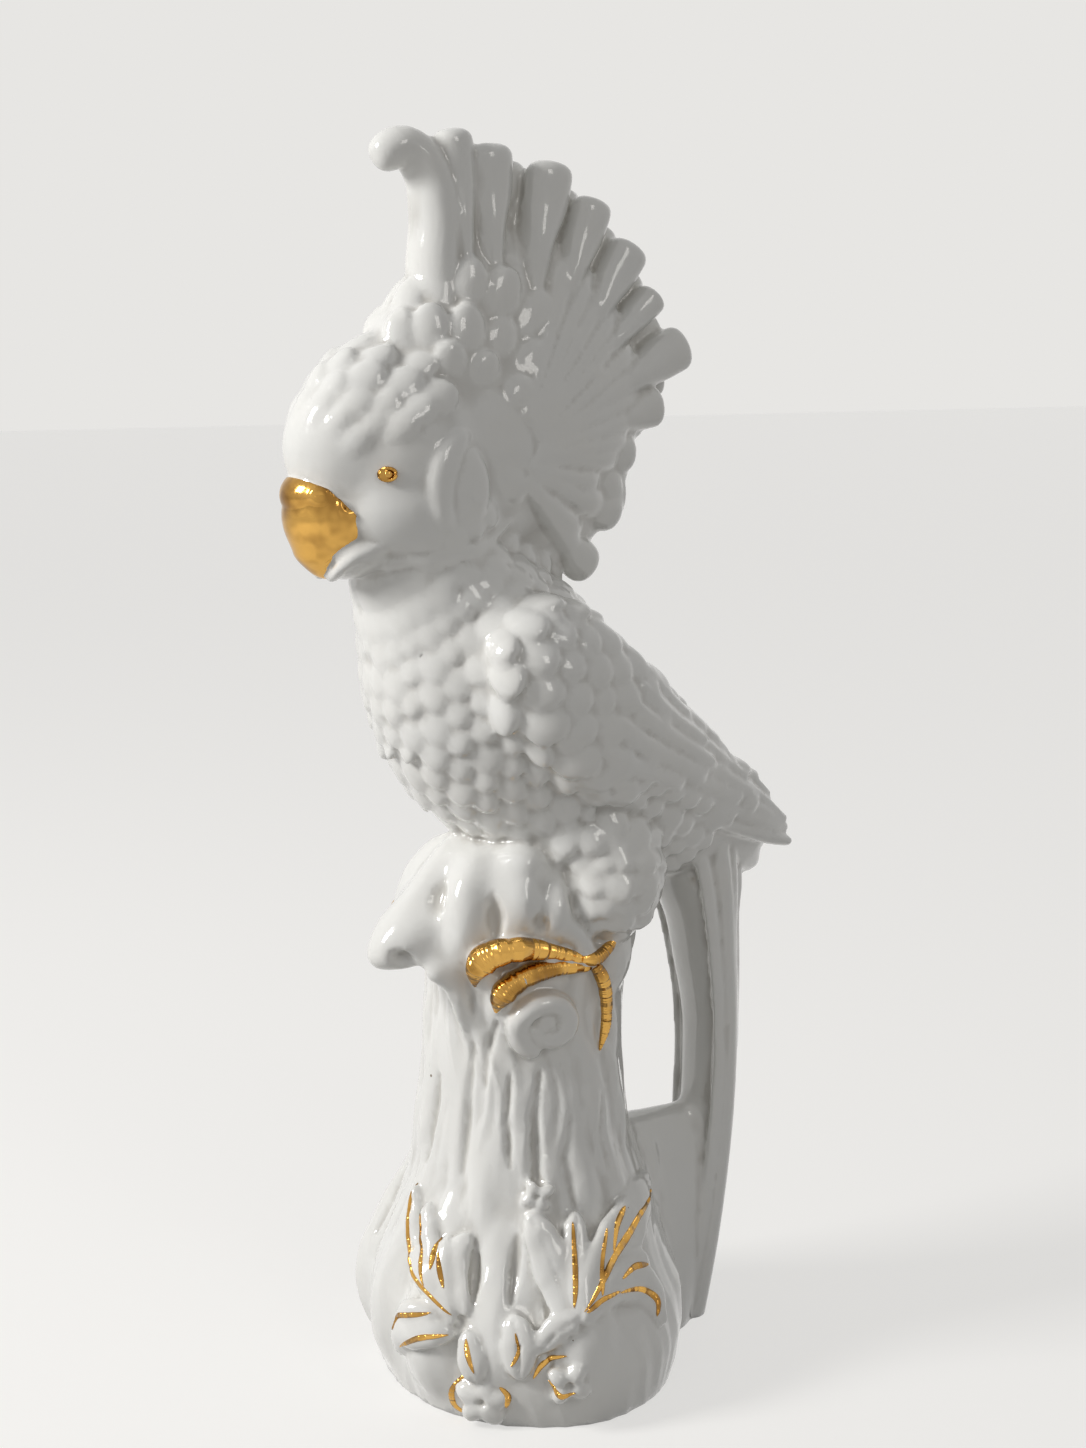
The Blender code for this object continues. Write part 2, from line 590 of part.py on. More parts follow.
def covert_scales(bm):
    """Overlapping feathers on the shoulder of the wing."""
    spine = wing_spine()
    length = sum((b - a).length for a, b in zip(spine, spine[1:]))
    half = SCALE_PITCH * 0.56
    share = 0.04
    row = 0
    while share < 0.52:
        local = between(WING_WIDTHS, share) * WING_HALF_WIDTH
        for k in range(-4, 5):
            across = (k + 0.5 * (row % 2)) * half * 1.75 / local
            if abs(across) > 0.93:
                continue
            inside = wing_point(share, across)
            outside = inside + WING_FACE * 40 * MM
            lay_scale(bm, BIRD_SKIN, outside, inside, wing_flow(share), half * 1.3, half, SCALE_RISE * 1.1)
        share += half * 1.5 / length
        half *= 1.04
        row += 1


def thigh_scales(bm):
    """Curled feathers that hang over the foot."""
    centre = PERCH + mm(24.5, 17, 25)
    half = SCALE_PITCH * 0.46
    down = Vector((0, 0.25, -1)).normalized()
    for row in range(5):
        height = THIGH_RADIUS * 0.85 - row * half * 1.35
        for k in range(8):
            turn = math.radians(-120 + 34 * k + 17 * (row % 2))
            out = Vector((math.cos(turn), math.sin(turn), 0))
            inside = centre + UP * height
            lay_scale(bm, BIRD_SKIN, inside + out * 60 * MM, inside, down, half * 1.3, half, SCALE_RISE * 0.8)


def grain(bm):
    """Bark: upright strands pressed into the trunk and mound."""
    bm.normal_update()
    top = PERCH_HEIGHT + 2 * MM
    moves = []
    for vert in bm.verts:
        x, y, z = vert.co
        y -= TRUNK_SET_BACK
        radius = math.hypot(x, y)
        if z > top or radius > BASE_HALF_WIDTH * 1.3:
            continue
        turn = math.atan2(y, x) + 0.12 * math.sin(z / (19 * MM)) + 0.05 * math.sin(z / (7 * MM))
        round_at = TRUNK_RADIUS / BARK_PITCH * 2
        place = Vector((math.cos(turn) * round_at, math.sin(turn) * round_at, z / (40 * MM)))
        strand = noise.noise(place) + 0.4 * noise.noise(place * 2.3)
        fade = min(1, (top - z) / (14 * MM)) * (1 - 0.6 * abs(vert.normal.z))
        moves.append((vert, vert.normal * strand * BARK_DEPTH * fade * 1.5))
    for vert, move in moves:
        vert.co += move


# Leaves on the mound: half width, then angles round the stump and heights in millimetres
LEAVES = (
    (3.6, ((-53, 28), (-66, 38), (-78, 44), (-86, 58))), (3.2, ((-53, 30), (-60, 38), (-64, 49))),
    (4.0, ((-51, 30), (-57, 42), (-52, 50))), (4.6, ((-53, 26), (-61, 26), (-70, 23), (-75, 14))),
    (7.0, ((-14, 30), (-3, 41), (18, 50), (44, 55))), (3.4, ((-15, 32), (-13, 45), (-11, 56))),
    (5.6, ((-13, 31), (-4, 36), (8, 35), (15, 30), (17, 21))), (5.4, ((-18, 27), (-20, 38), (-24, 48), (-30, 57))),
    (4.0, ((-28, 22), (-22, 28), (-15, 32))),
)
# Flowers and the bud: angle, height, reach of a petal, number of petals
FLOWERS = ((-44, 7, 5.6, 5), (-19, 13, 4.2, 4), (-33, 23, 3.4, 2))


def leaves(bm):
    for half, places in LEAVES:
        path = [on_stump(angle, height * MM, LEAF_RISE * 0.4) for angle, height in places]
        middle = path[len(path) // 2]
        outward = Vector((middle.x, middle.y - TRUNK_SET_BACK, 0.012)).normalized()
        widths = [half * MM * w for w in (0.35, 0.9, 1.0, 0.7, 0.25)]
        depths = [LEAF_RISE * d for d in (0.8, 1.0, 1.0, 0.8, 0.5)]
        lobe(bm, path, widths, depths, outward, 16, 12)


def flowers(bm):
    for angle, height, reach, petals in FLOWERS:
        centre = on_stump(angle, height * MM)
        outward = Vector((centre.x, centre.y - TRUNK_SET_BACK, 0)).normalized()
        across = UP.cross(outward)
        for k in range(petals):
            turn = 2 * math.pi * (k + 0.25) / petals
            lean = across * math.cos(turn) + UP * math.sin(turn)
            axes = facing(outward, lean)
            egg(bm, centre + lean * reach * 0.75 * MM, (reach * 0.75 * MM, reach * 0.55 * MM, LEAF_RISE * 1.3), axes, 2)
        egg(bm, centre + outward * LEAF_RISE * 0.5, (reach * 0.4 * MM,) * 3, fineness=2)


def bird_core(bm):
    for build in (torso, mantle, skull):
        build(bm)
    in_pairs(bm, cheek, wing, thigh)


def stump_core(bm):
    for build in (stump, roots, stub, burrs, web):
        build(bm)


def softened(build):
    """Forms melted into one another, as slip and glaze do."""
    bm = bmesh.new()
    build(bm)
    return fused(bm, CORE_CELL, CORE_SOFTENING)


def details(bm):
    """Feathers, beak, feet and knot, laid on the cores."""
    for build in (beak, crest, tail, rump_feathers, knot, leaves, flowers, chest_scales, head_scales):
        build(bm)
    in_pairs(bm, eye, crest_root_scales, quills, foot, covert_scales, thigh_scales)


def merged(*parts):
    """Several meshes in one, still overlapping."""
    bm = bmesh.new()
    for part in parts:
        mesh = bpy.data.meshes.new("part")
        part.to_mesh(mesh)
        bm.from_mesh(mesh)
        bpy.data.meshes.remove(mesh)
    return bm


# Furrows in the bark: half width and depth, then angles round the stump and heights
FURROWS = (
    (2.6, 1.8, ((-38, 99), (-39, 86), (-37, 73))), (2.6, 2.0, ((-27, 88), (-29, 74), (-28, 57))),
    (2.8, 1.8, ((-34, 50), (-34, 32))), (3.2, 1.8, ((-49, 44), (-48, 31))), (2.4, 1.4, ((-10, 70), (-11, 56))),
    (2.4, 1.2, ((12, 74), (12, 62))), (2.4, 1.2, ((-66, 84), (-70, 62))), (2.4, 1.4, ((150, 90), (146, 60), (150, 36))),
    (2.4, 1.4, ((-120, 92), (-124, 66), (-118, 34))), (2.4, 1.4, ((178, 84), (-178, 50))),
)


def press(bm, points, half_width, depth):
    """Presses a furrow, or at one point a dimple, into the skin."""
    reach = half_width + depth
    for vert in bm.verts:
        near = min((nearest_on(vert.co, a, b) - vert.co).length for a, b in zip(points, points[1:] or points))
        if near < reach:
            vert.co -= vert.normal * depth * (1 - (near / reach) ** 2) ** 2


def nearest_on(point, start, end):
    """The point nearest to a given one on a line between two ends."""
    along = end - start
    share = (point - start).dot(along) / max(along.length_squared, 1e-12)
    return start + along * min(1, max(0, share))


def furrows(bm):
    bm.normal_update()
    for half_width, depth, places in FURROWS:
        press(bm, [on_stump(angle, height * MM) for angle, height in places], half_width * MM, depth * MM)
    hollow = PERCH + mm(13, -29, 10)
    press(bm, [hollow, hollow + mm(0, -6, -4)], 6 * MM, 3 * MM)


def object_from(bm, name):
    mesh = bpy.data.meshes.new(name)
    bm.to_mesh(mesh)
    bm.free()
    made = bpy.data.objects.new(name, mesh)
    bpy.context.scene.collection.objects.link(made)
    return made


def applied(obj):
    """The object's mesh with its modifiers worked in, as a bmesh; the object goes."""
    bpy.context.view_layer.update()
    graph = bpy.context.evaluated_depsgraph_get()
    bm = bmesh.new()
    bm.from_mesh(obj.evaluated_get(graph).to_mesh())
    bpy.data.objects.remove(obj)
    return bm


def fused(bm, cell, softening):
    """One skin over all the overlapping forms, softened as thick glaze does."""
    forms = object_from(bm, "forms")
    skin = forms.modifiers.new("Skin", "REMESH")
    skin.mode = "VOXEL"
    skin.voxel_size = cell
    soften = forms.modifiers.new("Soften", "SMOOTH")
    soften.factor = 0.5
    soften.iterations = softening
    return applied(forms)


def thinned(bm):
    """The skin with fewer, larger triangles."""
    dense = object_from(bm, "dense")
    count = sum(len(p.vertices) - 2 for p in dense.data.polygons)
    thin = dense.modifiers.new("Thin", "DECIMATE")
    thin.ratio = SKIN_TRIANGLES / count
    return applied(dense)


def cut_flat(bm):
    """Cuts the underside flat at the ground and closes it."""
    everything = bm.verts[:] + bm.edges[:] + bm.faces[:]
    bmesh.ops.bisect_plane(bm, geom=everything, dist=1e-6, plane_co=(0, 0, 0), plane_no=UP, clear_inner=True)
    rim = [e for e in bm.edges if e.is_boundary]
    bmesh.ops.holes_fill(bm, edges=rim)
    bmesh.ops.recalc_face_normals(bm, faces=bm.faces)


def glaze():
    """White glossy glaze."""
    made = bpy.data.materials.new("white_glaze")
    made.use_nodes = True
    shader = made.node_tree.nodes["Principled BSDF"]
    shader.inputs["Base Color"].default_value = (0.86, 0.86, 0.84, 1)
    shader.inputs["Roughness"].default_value = 0.12
    shader.inputs["Metallic"].default_value = 0
    return made


def main():
    bm = fused(merged(BIRD, STUMP, DETAILS), SKIN_CELL, 1)
    grain(bm)
    furrows(bm)
    bm = thinned(bm)
    cut_flat(bm)
    figurine = object_from(bm, "figurine")
    figurine.data.materials.append(glaze())
    figurine.data.shade_smooth()
    figurine.data.set_sharp_from_angle(angle=math.radians(50))


for obj in list(bpy.data.objects):
    bpy.data.objects.remove(obj)

BIRD = softened(bird_core)
BIRD_SKIN = BVHTree.FromBMesh(BIRD)
STUMP = softened(stump_core)
STUMP_SKIN = BVHTree.FromBMesh(STUMP)
DETAILS = bmesh.new()
details(DETAILS)

if __name__ == "__main__":
    main()
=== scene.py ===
"""Looks of a white porcelain cockatoo on a tree stump, with brushed gilding.

Metres, +Z up. The bird faces -Y and its left side is +X. Run as a script.
"""

import math

import bmesh
import bpy
import numpy as np
from bpy.props import FloatProperty, FloatVectorProperty, IntProperty, PointerProperty
from mathutils import Matrix, Vector, noise
from mathutils.bvhtree import BVHTree


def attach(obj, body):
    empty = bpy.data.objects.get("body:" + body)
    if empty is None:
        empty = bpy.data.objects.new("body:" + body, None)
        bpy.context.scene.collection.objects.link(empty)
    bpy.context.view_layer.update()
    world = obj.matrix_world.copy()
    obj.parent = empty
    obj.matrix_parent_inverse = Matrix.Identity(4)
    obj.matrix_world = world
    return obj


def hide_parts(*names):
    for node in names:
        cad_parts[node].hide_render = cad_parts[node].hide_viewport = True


bl_info = {
    "name": "Porcelain cockatoo",
    "version": (1, 0, 0),
    "blender": (4, 5, 0),
    "location": "3D View > Sidebar > Cockatoo",
    "description": "Models and finishes a gilded porcelain cockatoo on a tree stump",
    "category": "Add Mesh",
}

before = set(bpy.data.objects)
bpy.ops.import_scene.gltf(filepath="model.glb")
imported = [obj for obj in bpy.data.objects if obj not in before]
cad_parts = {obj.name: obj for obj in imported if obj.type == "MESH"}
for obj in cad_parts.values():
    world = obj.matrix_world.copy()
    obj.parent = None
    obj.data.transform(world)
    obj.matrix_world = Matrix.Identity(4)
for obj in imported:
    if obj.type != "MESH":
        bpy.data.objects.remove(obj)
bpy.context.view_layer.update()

MM = 0.001
SIDE = Vector((1, 0, 0))
UP = Vector((0, 0, 1))
# How far forms reach below the ground before they are cut flat, and from how far out rays are cast
SINK = 5 * MM
FAR_OUT = 200 * MM
# Fineness and softening of the plain skins that the details are laid on
CORE_CELL = 2 * MM
CORE_SOFTENING = 10

PERCH_HEIGHT = 124.5 * MM
TRUNK_RADIUS = 28 * MM
TRUNK_SET_BACK = 3.6 * MM
BASE_HALF_WIDTH = 51 * MM
BASE_HALF_DEPTH = 45 * MM
MOUND_HEIGHT = 26 * MM
MOUND_SHIFT = 4 * MM
BODY_SLOPE = math.radians(51)
CHEST_HALF_WIDTH = 34 * MM
CHEST_HALF_DEPTH = 36 * MM
BODY_LENGTH = 130 * MM
WING_HALF_WIDTH = 23 * MM
WING_HALF_THICKNESS = 10.5 * MM

PERCH = Vector((0, 0, PERCH_HEIGHT))
BODY_AXIS = Vector((0, math.cos(BODY_SLOPE), -math.sin(BODY_SLOPE)))
BODY_BACK = Vector((0, math.sin(BODY_SLOPE), math.cos(BODY_SLOPE)))
NECK = PERCH + Vector((0, -13, 103)) * MM


def mm(x, y, z):
    """A point or offset written in millimetres."""
    return Vector((x, y, z)) * MM


def sizes():
    return bpy.context.scene.cockatoo_sizes


def colours():
    return bpy.context.scene.cockatoo_colours


# Plain modelling helpers


def body_point(along, back, side=0.0):
    """A point a share of the way down the body from the neck, off its axis to the back and left."""
    return NECK + along * BODY_LENGTH * BODY_AXIS + back * BODY_BACK + side * SIDE


def add_form(bm, form):
    """Puts a finished form in with the others. Making each by itself is quicker in a large mesh."""
    mesh = bpy.data.meshes.new("form")
    form.to_mesh(mesh)
    form.free()
    bm.from_mesh(mesh)
    bpy.data.meshes.remove(mesh)


def egg(bm, centre, radii, axes=None, fineness=4):
    """A closed ellipsoid. The columns of axes are the directions of its three radii."""
    turn = axes.to_4x4() if axes else Matrix.Identity(4)
    place = Matrix.Translation(centre) @ turn @ Matrix.Diagonal((*radii, 1))
    form = bmesh.new()
    bmesh.ops.create_icosphere(form, subdivisions=fineness, radius=1, matrix=place)
    add_form(bm, form)


def facing(normal, flow):
    """Axes for a flat form on a surface: flow, side and outward normal as columns."""
    across = normal.cross(flow).normalized()
    ahead = across.cross(normal).normalized()
    return Matrix((ahead, across, normal)).transposed()


def bent(value, power):
    """A power of a value that keeps its sign."""
    return math.copysign(abs(value) ** power, value)


def oval(centre, first, second, sides, power=1.0):
    """A ring of points. A power under 1 makes it squarer than an ellipse."""
    places = []
    for i in range(sides):
        turn = 2 * math.pi * i / sides
        places.append(centre + bent(math.cos(turn), power) * first + bent(math.sin(turn), power) * second)
    return places


def skin_over(bm, rings):
    """A closed skin through rings of points, made by extruding an end cap."""
    form = bmesh.new()
    verts = bmesh.ops.create_circle(form, cap_ends=True, segments=len(rings[0]), radius=1)["verts"]
    cap = verts[0].link_faces[0]
    for vert, place in zip(verts, rings[0]):
        vert.co = place
    for ring in rings[1:]:
        grown = bmesh.ops.extrude_face_region(form, geom=[cap])["geom"]
        cap = next(g for g in grown if isinstance(g, bmesh.types.BMFace))
        fresh = {v for v in grown if isinstance(v, bmesh.types.BMVert)}
        verts = [next(e.other_vert(v) for e in v.link_edges if e.other_vert(v) in fresh)
                 for v in verts]
        for vert, place in zip(verts, ring):
            vert.co = place
    bmesh.ops.recalc_face_normals(form, faces=form.faces)
    add_form(bm, form)


def along_path(points, share):
    """A point on the smooth curve through the points, at a share of the way."""
    spans = len(points) - 1
    place = min(max(share, 0), 1) * spans
    i = min(int(place), spans - 1)
    f = place - i
    before = points[max(i - 1, 0)]
    after = points[min(i + 2, spans)]
    here, there = points[i], points[i + 1]
    lead = (there - before) / 2
    trail = (after - here) / 2
    return ((2 * f**3 - 3 * f**2 + 1) * here + (f**3 - 2 * f**2 + f) * lead
            + (3 * f**2 - 2 * f**3) * there + (f**3 - f**2) * trail)


def between(values, share):
    """A value read off an evenly spaced list, at a share of the way."""
    spans = len(values) - 1
    i = min(int(share * spans), spans - 1)
    f = share * spans - i
    f = f * f * (3 - 2 * f)
    return values[i] * (1 - f) + values[i + 1] * f


def lobe(bm, points, widths, depths, face, steps=16, sides=20, power=1.0):
    """A round-ended limb or feather along a curve. Face is the way that its depth points."""
    rings = []
    length = sum((b - a).length for a, b in zip(points, points[1:]))
    tip_share = 0.04
    for i in range(steps + 1):
        share = 0.5 - 0.5 * math.cos(math.pi * i / steps)
        ahead = along_path(points, share + 0.01) - along_path(points, share - 0.01)
        across = ahead.cross(face).normalized()
        upward = across.cross(ahead).normalized()
        width, depth = between(widths, share), between(depths, share)
        end = min(0.45, 1.3 * max(width, depth) / length)
        near = min(1, min(share, 1 - share) / end)
        rounding = max(tip_share, math.sqrt(1 - (1 - near) ** 2))
        centre = along_path(points, share)
        rings.append(oval(centre, across * width * rounding, upward * depth * rounding, sides, power))
    skin_over(bm, rings)


def in_pairs(bm, *builders):
    """Builds forms on the bird's left, and their mirror images on its right."""
    half = bmesh.new()
    for build in builders:
        build(half)
    mesh = bpy.data.meshes.new("half")
    half.to_mesh(mesh)
    bm.from_mesh(mesh)
    bmesh.ops.transform(half, matrix=Matrix.Scale(-1, 4, SIDE), verts=half.verts)
    bmesh.ops.reverse_faces(half, faces=half.faces)
    half.to_mesh(mesh)
    bm.from_mesh(mesh)
    bpy.data.meshes.remove(mesh)
    half.free()


def object_from(bm, name):
    """A new object with the mesh; the bmesh goes."""
    mesh = bpy.data.meshes.new(name)
    bm.to_mesh(mesh)
    bm.free()
    made = bpy.data.objects.new(name, mesh)
    bpy.context.scene.collection.objects.link(made)
    return made


def applied(obj):
    """The object's mesh with its modifiers worked in, as a bmesh; the object goes."""
    bpy.context.view_layer.update()
    graph = bpy.context.evaluated_depsgraph_get()
    bm = bmesh.new()
    bm.from_mesh(obj.evaluated_get(graph).to_mesh())
    mesh = obj.data
    bpy.data.objects.remove(obj)
    bpy.data.meshes.remove(mesh)
    return bm


def fused(bm, cell, softening):
    """One skin over all the overlapping forms, softened as thick glaze does."""
    forms = object_from(bm, "forms")
    skin = forms.modifiers.new("Skin", "REMESH")
    skin.mode = "VOXEL"
    skin.voxel_size = cell
    soften = forms.modifiers.new("Soften", "SMOOTH")
    soften.factor = 0.5
    soften.iterations = softening
    return applied(forms)


def merged(*parts):
    """Several meshes in one, still overlapping."""
    bm = bmesh.new()
    for part in parts:
        mesh = bpy.data.meshes.new("part")
        part.to_mesh(mesh)
        bm.from_mesh(mesh)
        bpy.data.meshes.remove(mesh)
    return bm


def built(*builders):
    """A new mesh with the forms of every builder."""
    bm = bmesh.new()
    for build in builders:
        build(bm)
    return bm


# Forms that the figure is fused from, before its feathers and bark


def torso(bm):
    """The egg-shaped body from inside the head to the rump."""
    # Share of the way down, off the axis in mm, half depth and half width as shares of the chest's
    profile = (
        (-0.31, -3, 0.44, 0.50), (-0.19, -5, 0.56, 0.60), (-0.09, -8, 0.69, 0.70),
        (0.00, -10.5, 0.83, 0.83), (0.12, -12.5, 0.94, 0.93), (0.25, -11.5, 1.00, 0.98),
        (0.40, -8, 1.00, 0.98), (0.58, -1, 0.88, 0.86), (0.77, 9, 0.58, 0.58),
        (0.92, 17, 0.28, 0.32), (1.00, 20, 0.08, 0.10),
    )
    rings = []
    for along, back, depth, width in profile:
        wide, deep = SIDE * width * CHEST_HALF_WIDTH, BODY_BACK * depth * CHEST_HALF_DEPTH
        rings.append(oval(body_point(along, back * MM), wide, deep, 48))
    skin_over(bm, rings)


HEAD = mm(0, -36, 268.5)
# Eggs that make up the head, brow and crest: place and radii
SKULL = (
    (HEAD, mm(24.5, 27, 29)),
    (mm(0, -46, 271.5), mm(20, 23.2, 22)),
    (mm(0, -41, 278), mm(18, 24, 22.5)),
    (mm(0, -13, 302), mm(12.5, 24, 27)),
    (mm(0, -24, 291), mm(17, 22, 24)),
    (mm(0, -14, 270), mm(21, 26, 31)),
    (mm(0, -8, 273), mm(18.5, 29, 36)),
    (mm(0, -2, 276), mm(16, 32, 40)),
    (mm(0, 3, 278), mm(13.5, 33.5, 43)),
    (mm(0, 6, 280), mm(11, 34.5, 45)),
    (mm(0, 0, 254), mm(12, 23, 23)),
    (mm(0, -46, 254), mm(19, 18, 15)),
)


def skull(bm):
    """The head, brow and the thick middle of the crest."""
    for centre, radii in SKULL:
        egg(bm, centre, radii)


def cheek(bm):
    """The full cheek under the eye."""
    egg(bm, mm(11.5, -35, 255), mm(14, 22, 15))


def mantle(bm):
    """The filled back between the folded wings."""
    axes = Matrix((SIDE, BODY_BACK, BODY_AXIS)).transposed()
    radii = (CHEST_HALF_WIDTH * 0.75, 13 * MM, BODY_LENGTH * 0.42)
    egg(bm, body_point(0.30, 10 * MM), radii, axes)


# Crest feathers: half width, then points from root to extreme tip as (y, z), all in millimetres
CREST_NEAR = (
    (5.2, ((-18, 296), (-19.4, 326), (-19.8, 343), (-21.2, 355.6))),
    (6.2, ((-10, 292), (-10.6, 325), (-9.4, 341), (-9.8, 352.2))),
    (6.4, ((-2, 290), (3.6, 322), (8.0, 337), (9.6, 348.2))),
    (5.6, ((4, 290), (13.6, 315), (20.4, 329), (23.6, 338.6))),
    (5.8, ((8, 286), (22.5, 307), (31.6, 319), (36.2, 326.4))),
    (4.4, ((9, 281), (27.0, 298), (38.4, 307.4), (44.0, 312.6))),
    (6.2, ((10, 279), (33.0, 288), (47.0, 294.8), (54.6, 298.6))),
    (5.6, ((9, 275), (29.0, 277.4), (39.6, 280.0), (46.4, 281.2))),
    (5.6, ((7, 268), (20.0, 268.2), (30.0, 268.0), (37.2, 267.6))),
    (6.0, ((5, 262), (15.0, 256.6), (24.6, 252.8), (32.4, 250.0))),
    (5.8, ((2, 256), (10.0, 245.6), (17.4, 239.2), (23.6, 234.4))),
)
# The second row, seen behind and between: the same, nearer to the bird's right
CREST_FAR = (
    (5.2, ((-14, 294), (-15.2, 324), (-15.2, 342), (-16.6, 352.6))),
    (5.4, ((-5, 292), (-3.6, 322), (-1.6, 338), (-1.0, 348.6))),
    (5.4, ((2, 290), (9.0, 317), (14.8, 332), (17.4, 341.8))),
    (5.2, ((7, 288), (19.0, 311), (26.6, 323.6), (30.6, 331.6))),
    (5.0, ((8, 284), (25.6, 302), (35.6, 312.6), (40.8, 318.6))),
    (5.0, ((9, 280), (29.6, 292.4), (42.0, 300.8), (48.4, 304.8))),
    (5.4, ((9, 277), (31.0, 283), (43.6, 287.6), (50.4, 289.8))),
    (5.4, ((8, 272), (24.4, 272), (34.6, 272.8), (41.0, 273.2))),
    (5.4, ((6, 266), (15.4, 262.4), (22.6, 260.2), (28.6, 258.8))),
    (5.8, ((4, 259), (10.6, 251.4), (16.8, 245.4), (22.4, 241.2))),
)
# The first of the low feathers at the nape, where the web reaches further out
NAPE_FEATHERS_FROM = 8
# How far each row lies from the middle, in millimetres
CREST_OFFSET = 3.4
# The front feather's path as (y, z)
CURL = ((-22, 300), (-25.2, 316), (-24.8, 333), (-27.6, 345), (-34.6, 350.4), (-42.6, 346.2))


def crest_row(bm, feathers, offset, root_depth, tip_depth):
    """One row of the fan, each feather wider and thinner towards its tip."""
    for half, places in feathers:
        points = [mm(offset * (0.5 if i == 0 else 1), y, z) for i, (y, z) in enumerate(places)]
        widths = [half * MM * w for w in (0.5, 0.74, 1.06, 1.14)]
        middle_depth = (root_depth + 2 * tip_depth) / 3
        depths = [d * MM for d in (root_depth, middle_depth, tip_depth, tip_depth)]
        lobe(bm, points, widths, depths, SIDE, 22, 24)


def crest_curl(bm):
    """The front feather, which rolls forward at its tip."""
    points = [mm(0.8, y, z) for y, z in CURL]
    widths = [w * MM for w in (7.4, 7.6, 7.0, 6.2, 5.6, 5.2)]
    depths = [d * MM for d in (10, 9.4, 8.6, 7.6, 6.4, 5.2)]
    lobe(bm, points, widths, depths, SIDE, 30, 24)


def crest_web(bm):
    """The thick plate that joins the feathers of the crest."""
    widths = [9 * MM, 9.5 * MM, 6.5 * MM]
    depths = [10 * MM, 8.5 * MM, 6.0 * MM]
    for number, (_, places) in enumerate(CREST_NEAR):
        root, tip = mm(0, *places[0]), mm(0, *places[-1])
        reach = 0.74 if number < NAPE_FEATHERS_FROM else 0.86
        lobe(bm, [root.lerp(tip, share) for share in (-0.2, 0.3, reach)], widths, depths, SIDE, 10, 16)


# The folded wing's middle line: share down the body, off its axis in mm, share of the chest's width
WING_LINE = (
    (-0.03, -5, 0.78), (0.14, -5, 0.88), (0.31, -1.5, 0.86),
    (0.50, 8, 0.70), (0.71, 19.5, 0.47), (0.96, 32, 0.22),
)
WING_WIDTHS = (0.66, 0.90, 0.92, 0.68, 0.46, 0.16)
WING_DEPTHS = (0.95, 1.0, 1.0, 0.86, 0.66, 0.36)
WING_FACE = Vector((1, 0.14, 0.18)).normalized()


def wing_spine():
    """Points down the middle of the left wing."""
    return [body_point(along, back * MM, side * CHEST_HALF_WIDTH)
            for along, back, side in WING_LINE]


def wing_flow(share):
    """The way along the wing towards its tip."""
    spine = wing_spine()
    return (along_path(spine, share + 0.02) - along_path(spine, share - 0.02)).normalized()


def wing_point(share, across=0.0, out=0.0):
    """A point on the wing's middle line, moved across by a share of its half width, and outwards."""
    upward = WING_FACE.cross(wing_flow(share)).normalized()
    half = between(WING_WIDTHS, share) * WING_HALF_WIDTH
    return along_path(wing_spine(), share) + upward * across * half + WING_FACE * out


def wing(bm):
    """The folded wing, squarer than an egg."""
    widths = [w * WING_HALF_WIDTH for w in WING_WIDTHS]
    depths = [d * WING_HALF_THICKNESS for d in WING_DEPTHS]
    lobe(bm, wing_spine(), widths, depths, WING_FACE, 24, 32, 0.8)


THIGH = PERCH + mm(24, 17, 25)
THIGH_RADIUS = 13 * MM


def thigh(bm):
    """The feathered thigh, and what ties it to the body."""
    lean = Matrix.Rotation(math.radians(-12), 3, SIDE)
    egg(bm, THIGH, (THIGH_RADIUS, THIGH_RADIUS * 1.12, THIGH_RADIUS * 1.35), lean)
    egg(bm, PERCH + mm(20, 14, 38), (THIGH_RADIUS, THIGH_RADIUS * 1.4, THIGH_RADIUS))


def stump_ring(height, back, half_width, half_depth, shift=0.0):
    """Centre and size of one ring. Back and shift are shares of the set-back and the mound's shift."""
    centre = Vector((shift * MOUND_SHIFT, back * TRUNK_SET_BACK, height))
    return centre, half_width, half_depth


def stump_rings():
    waist = PERCH_HEIGHT * 0.76
    mound = MOUND_HEIGHT
    rise = waist - mound
    w, d, r = BASE_HALF_WIDTH, BASE_HALF_DEPTH, TRUNK_RADIUS
    return [
        stump_ring(-SINK, 0.2, w * 0.90, d * 0.89, 1),
        stump_ring(mound * 0.12, 0.2, w * 0.96, d * 0.95, 1),
        stump_ring(mound * 0.55, 0.2, w, d, 1),
        stump_ring(mound, 0.3, w * 0.97, d * 0.99, 0.8),
        stump_ring(mound + rise * 0.2, 0.5, w * 0.83, d * 0.88, 0.5),
        stump_ring(mound + rise * 0.45, 0.8, r * 1.30, r * 1.26),
        stump_ring(mound + rise * 0.7, 1, r * 1.08, r * 1.06),
        stump_ring(waist, 1, r, r),
        stump_ring(PERCH_HEIGHT * 0.88, 1, r * 1.02, r),
        stump_ring(PERCH_HEIGHT, 0.8, r * 1.04, r * 1.04),
        stump_ring(PERCH_HEIGHT + 14 * MM, 0, r * 0.92, r * 1.0),
        stump_ring(PERCH_HEIGHT + 26 * MM, -0.6, r * 0.7, r * 0.8),
        stump_ring(PERCH_HEIGHT + 34 * MM, -0.8, r * 0.4, r * 0.45),
    ]


def stump(bm):
    """Trunk and mound, from below the ground to inside the bird's belly."""
    skin_over(bm, [oval(c, SIDE * w, Vector((0, d, 0)), 64) for c, w, d in stump_rings()])


def mound_radius(angle, height):
    """How far the stump's plain form reaches, before its roots and bark."""
    rings = stump_rings()
    lower = max((r for r in rings if r[0].z <= height), key=lambda r: r[0].z)
    upper = min((r for r in rings if r[0].z > height), key=lambda r: r[0].z)
    f = (height - lower[0].z) / (upper[0].z - lower[0].z)
    half_width = lower[1] * (1 - f) + upper[1] * f
    half_depth = lower[2] * (1 - f) + upper[2] * f
    return 1 / math.hypot(math.cos(angle) / half_width, math.sin(angle) / half_depth)


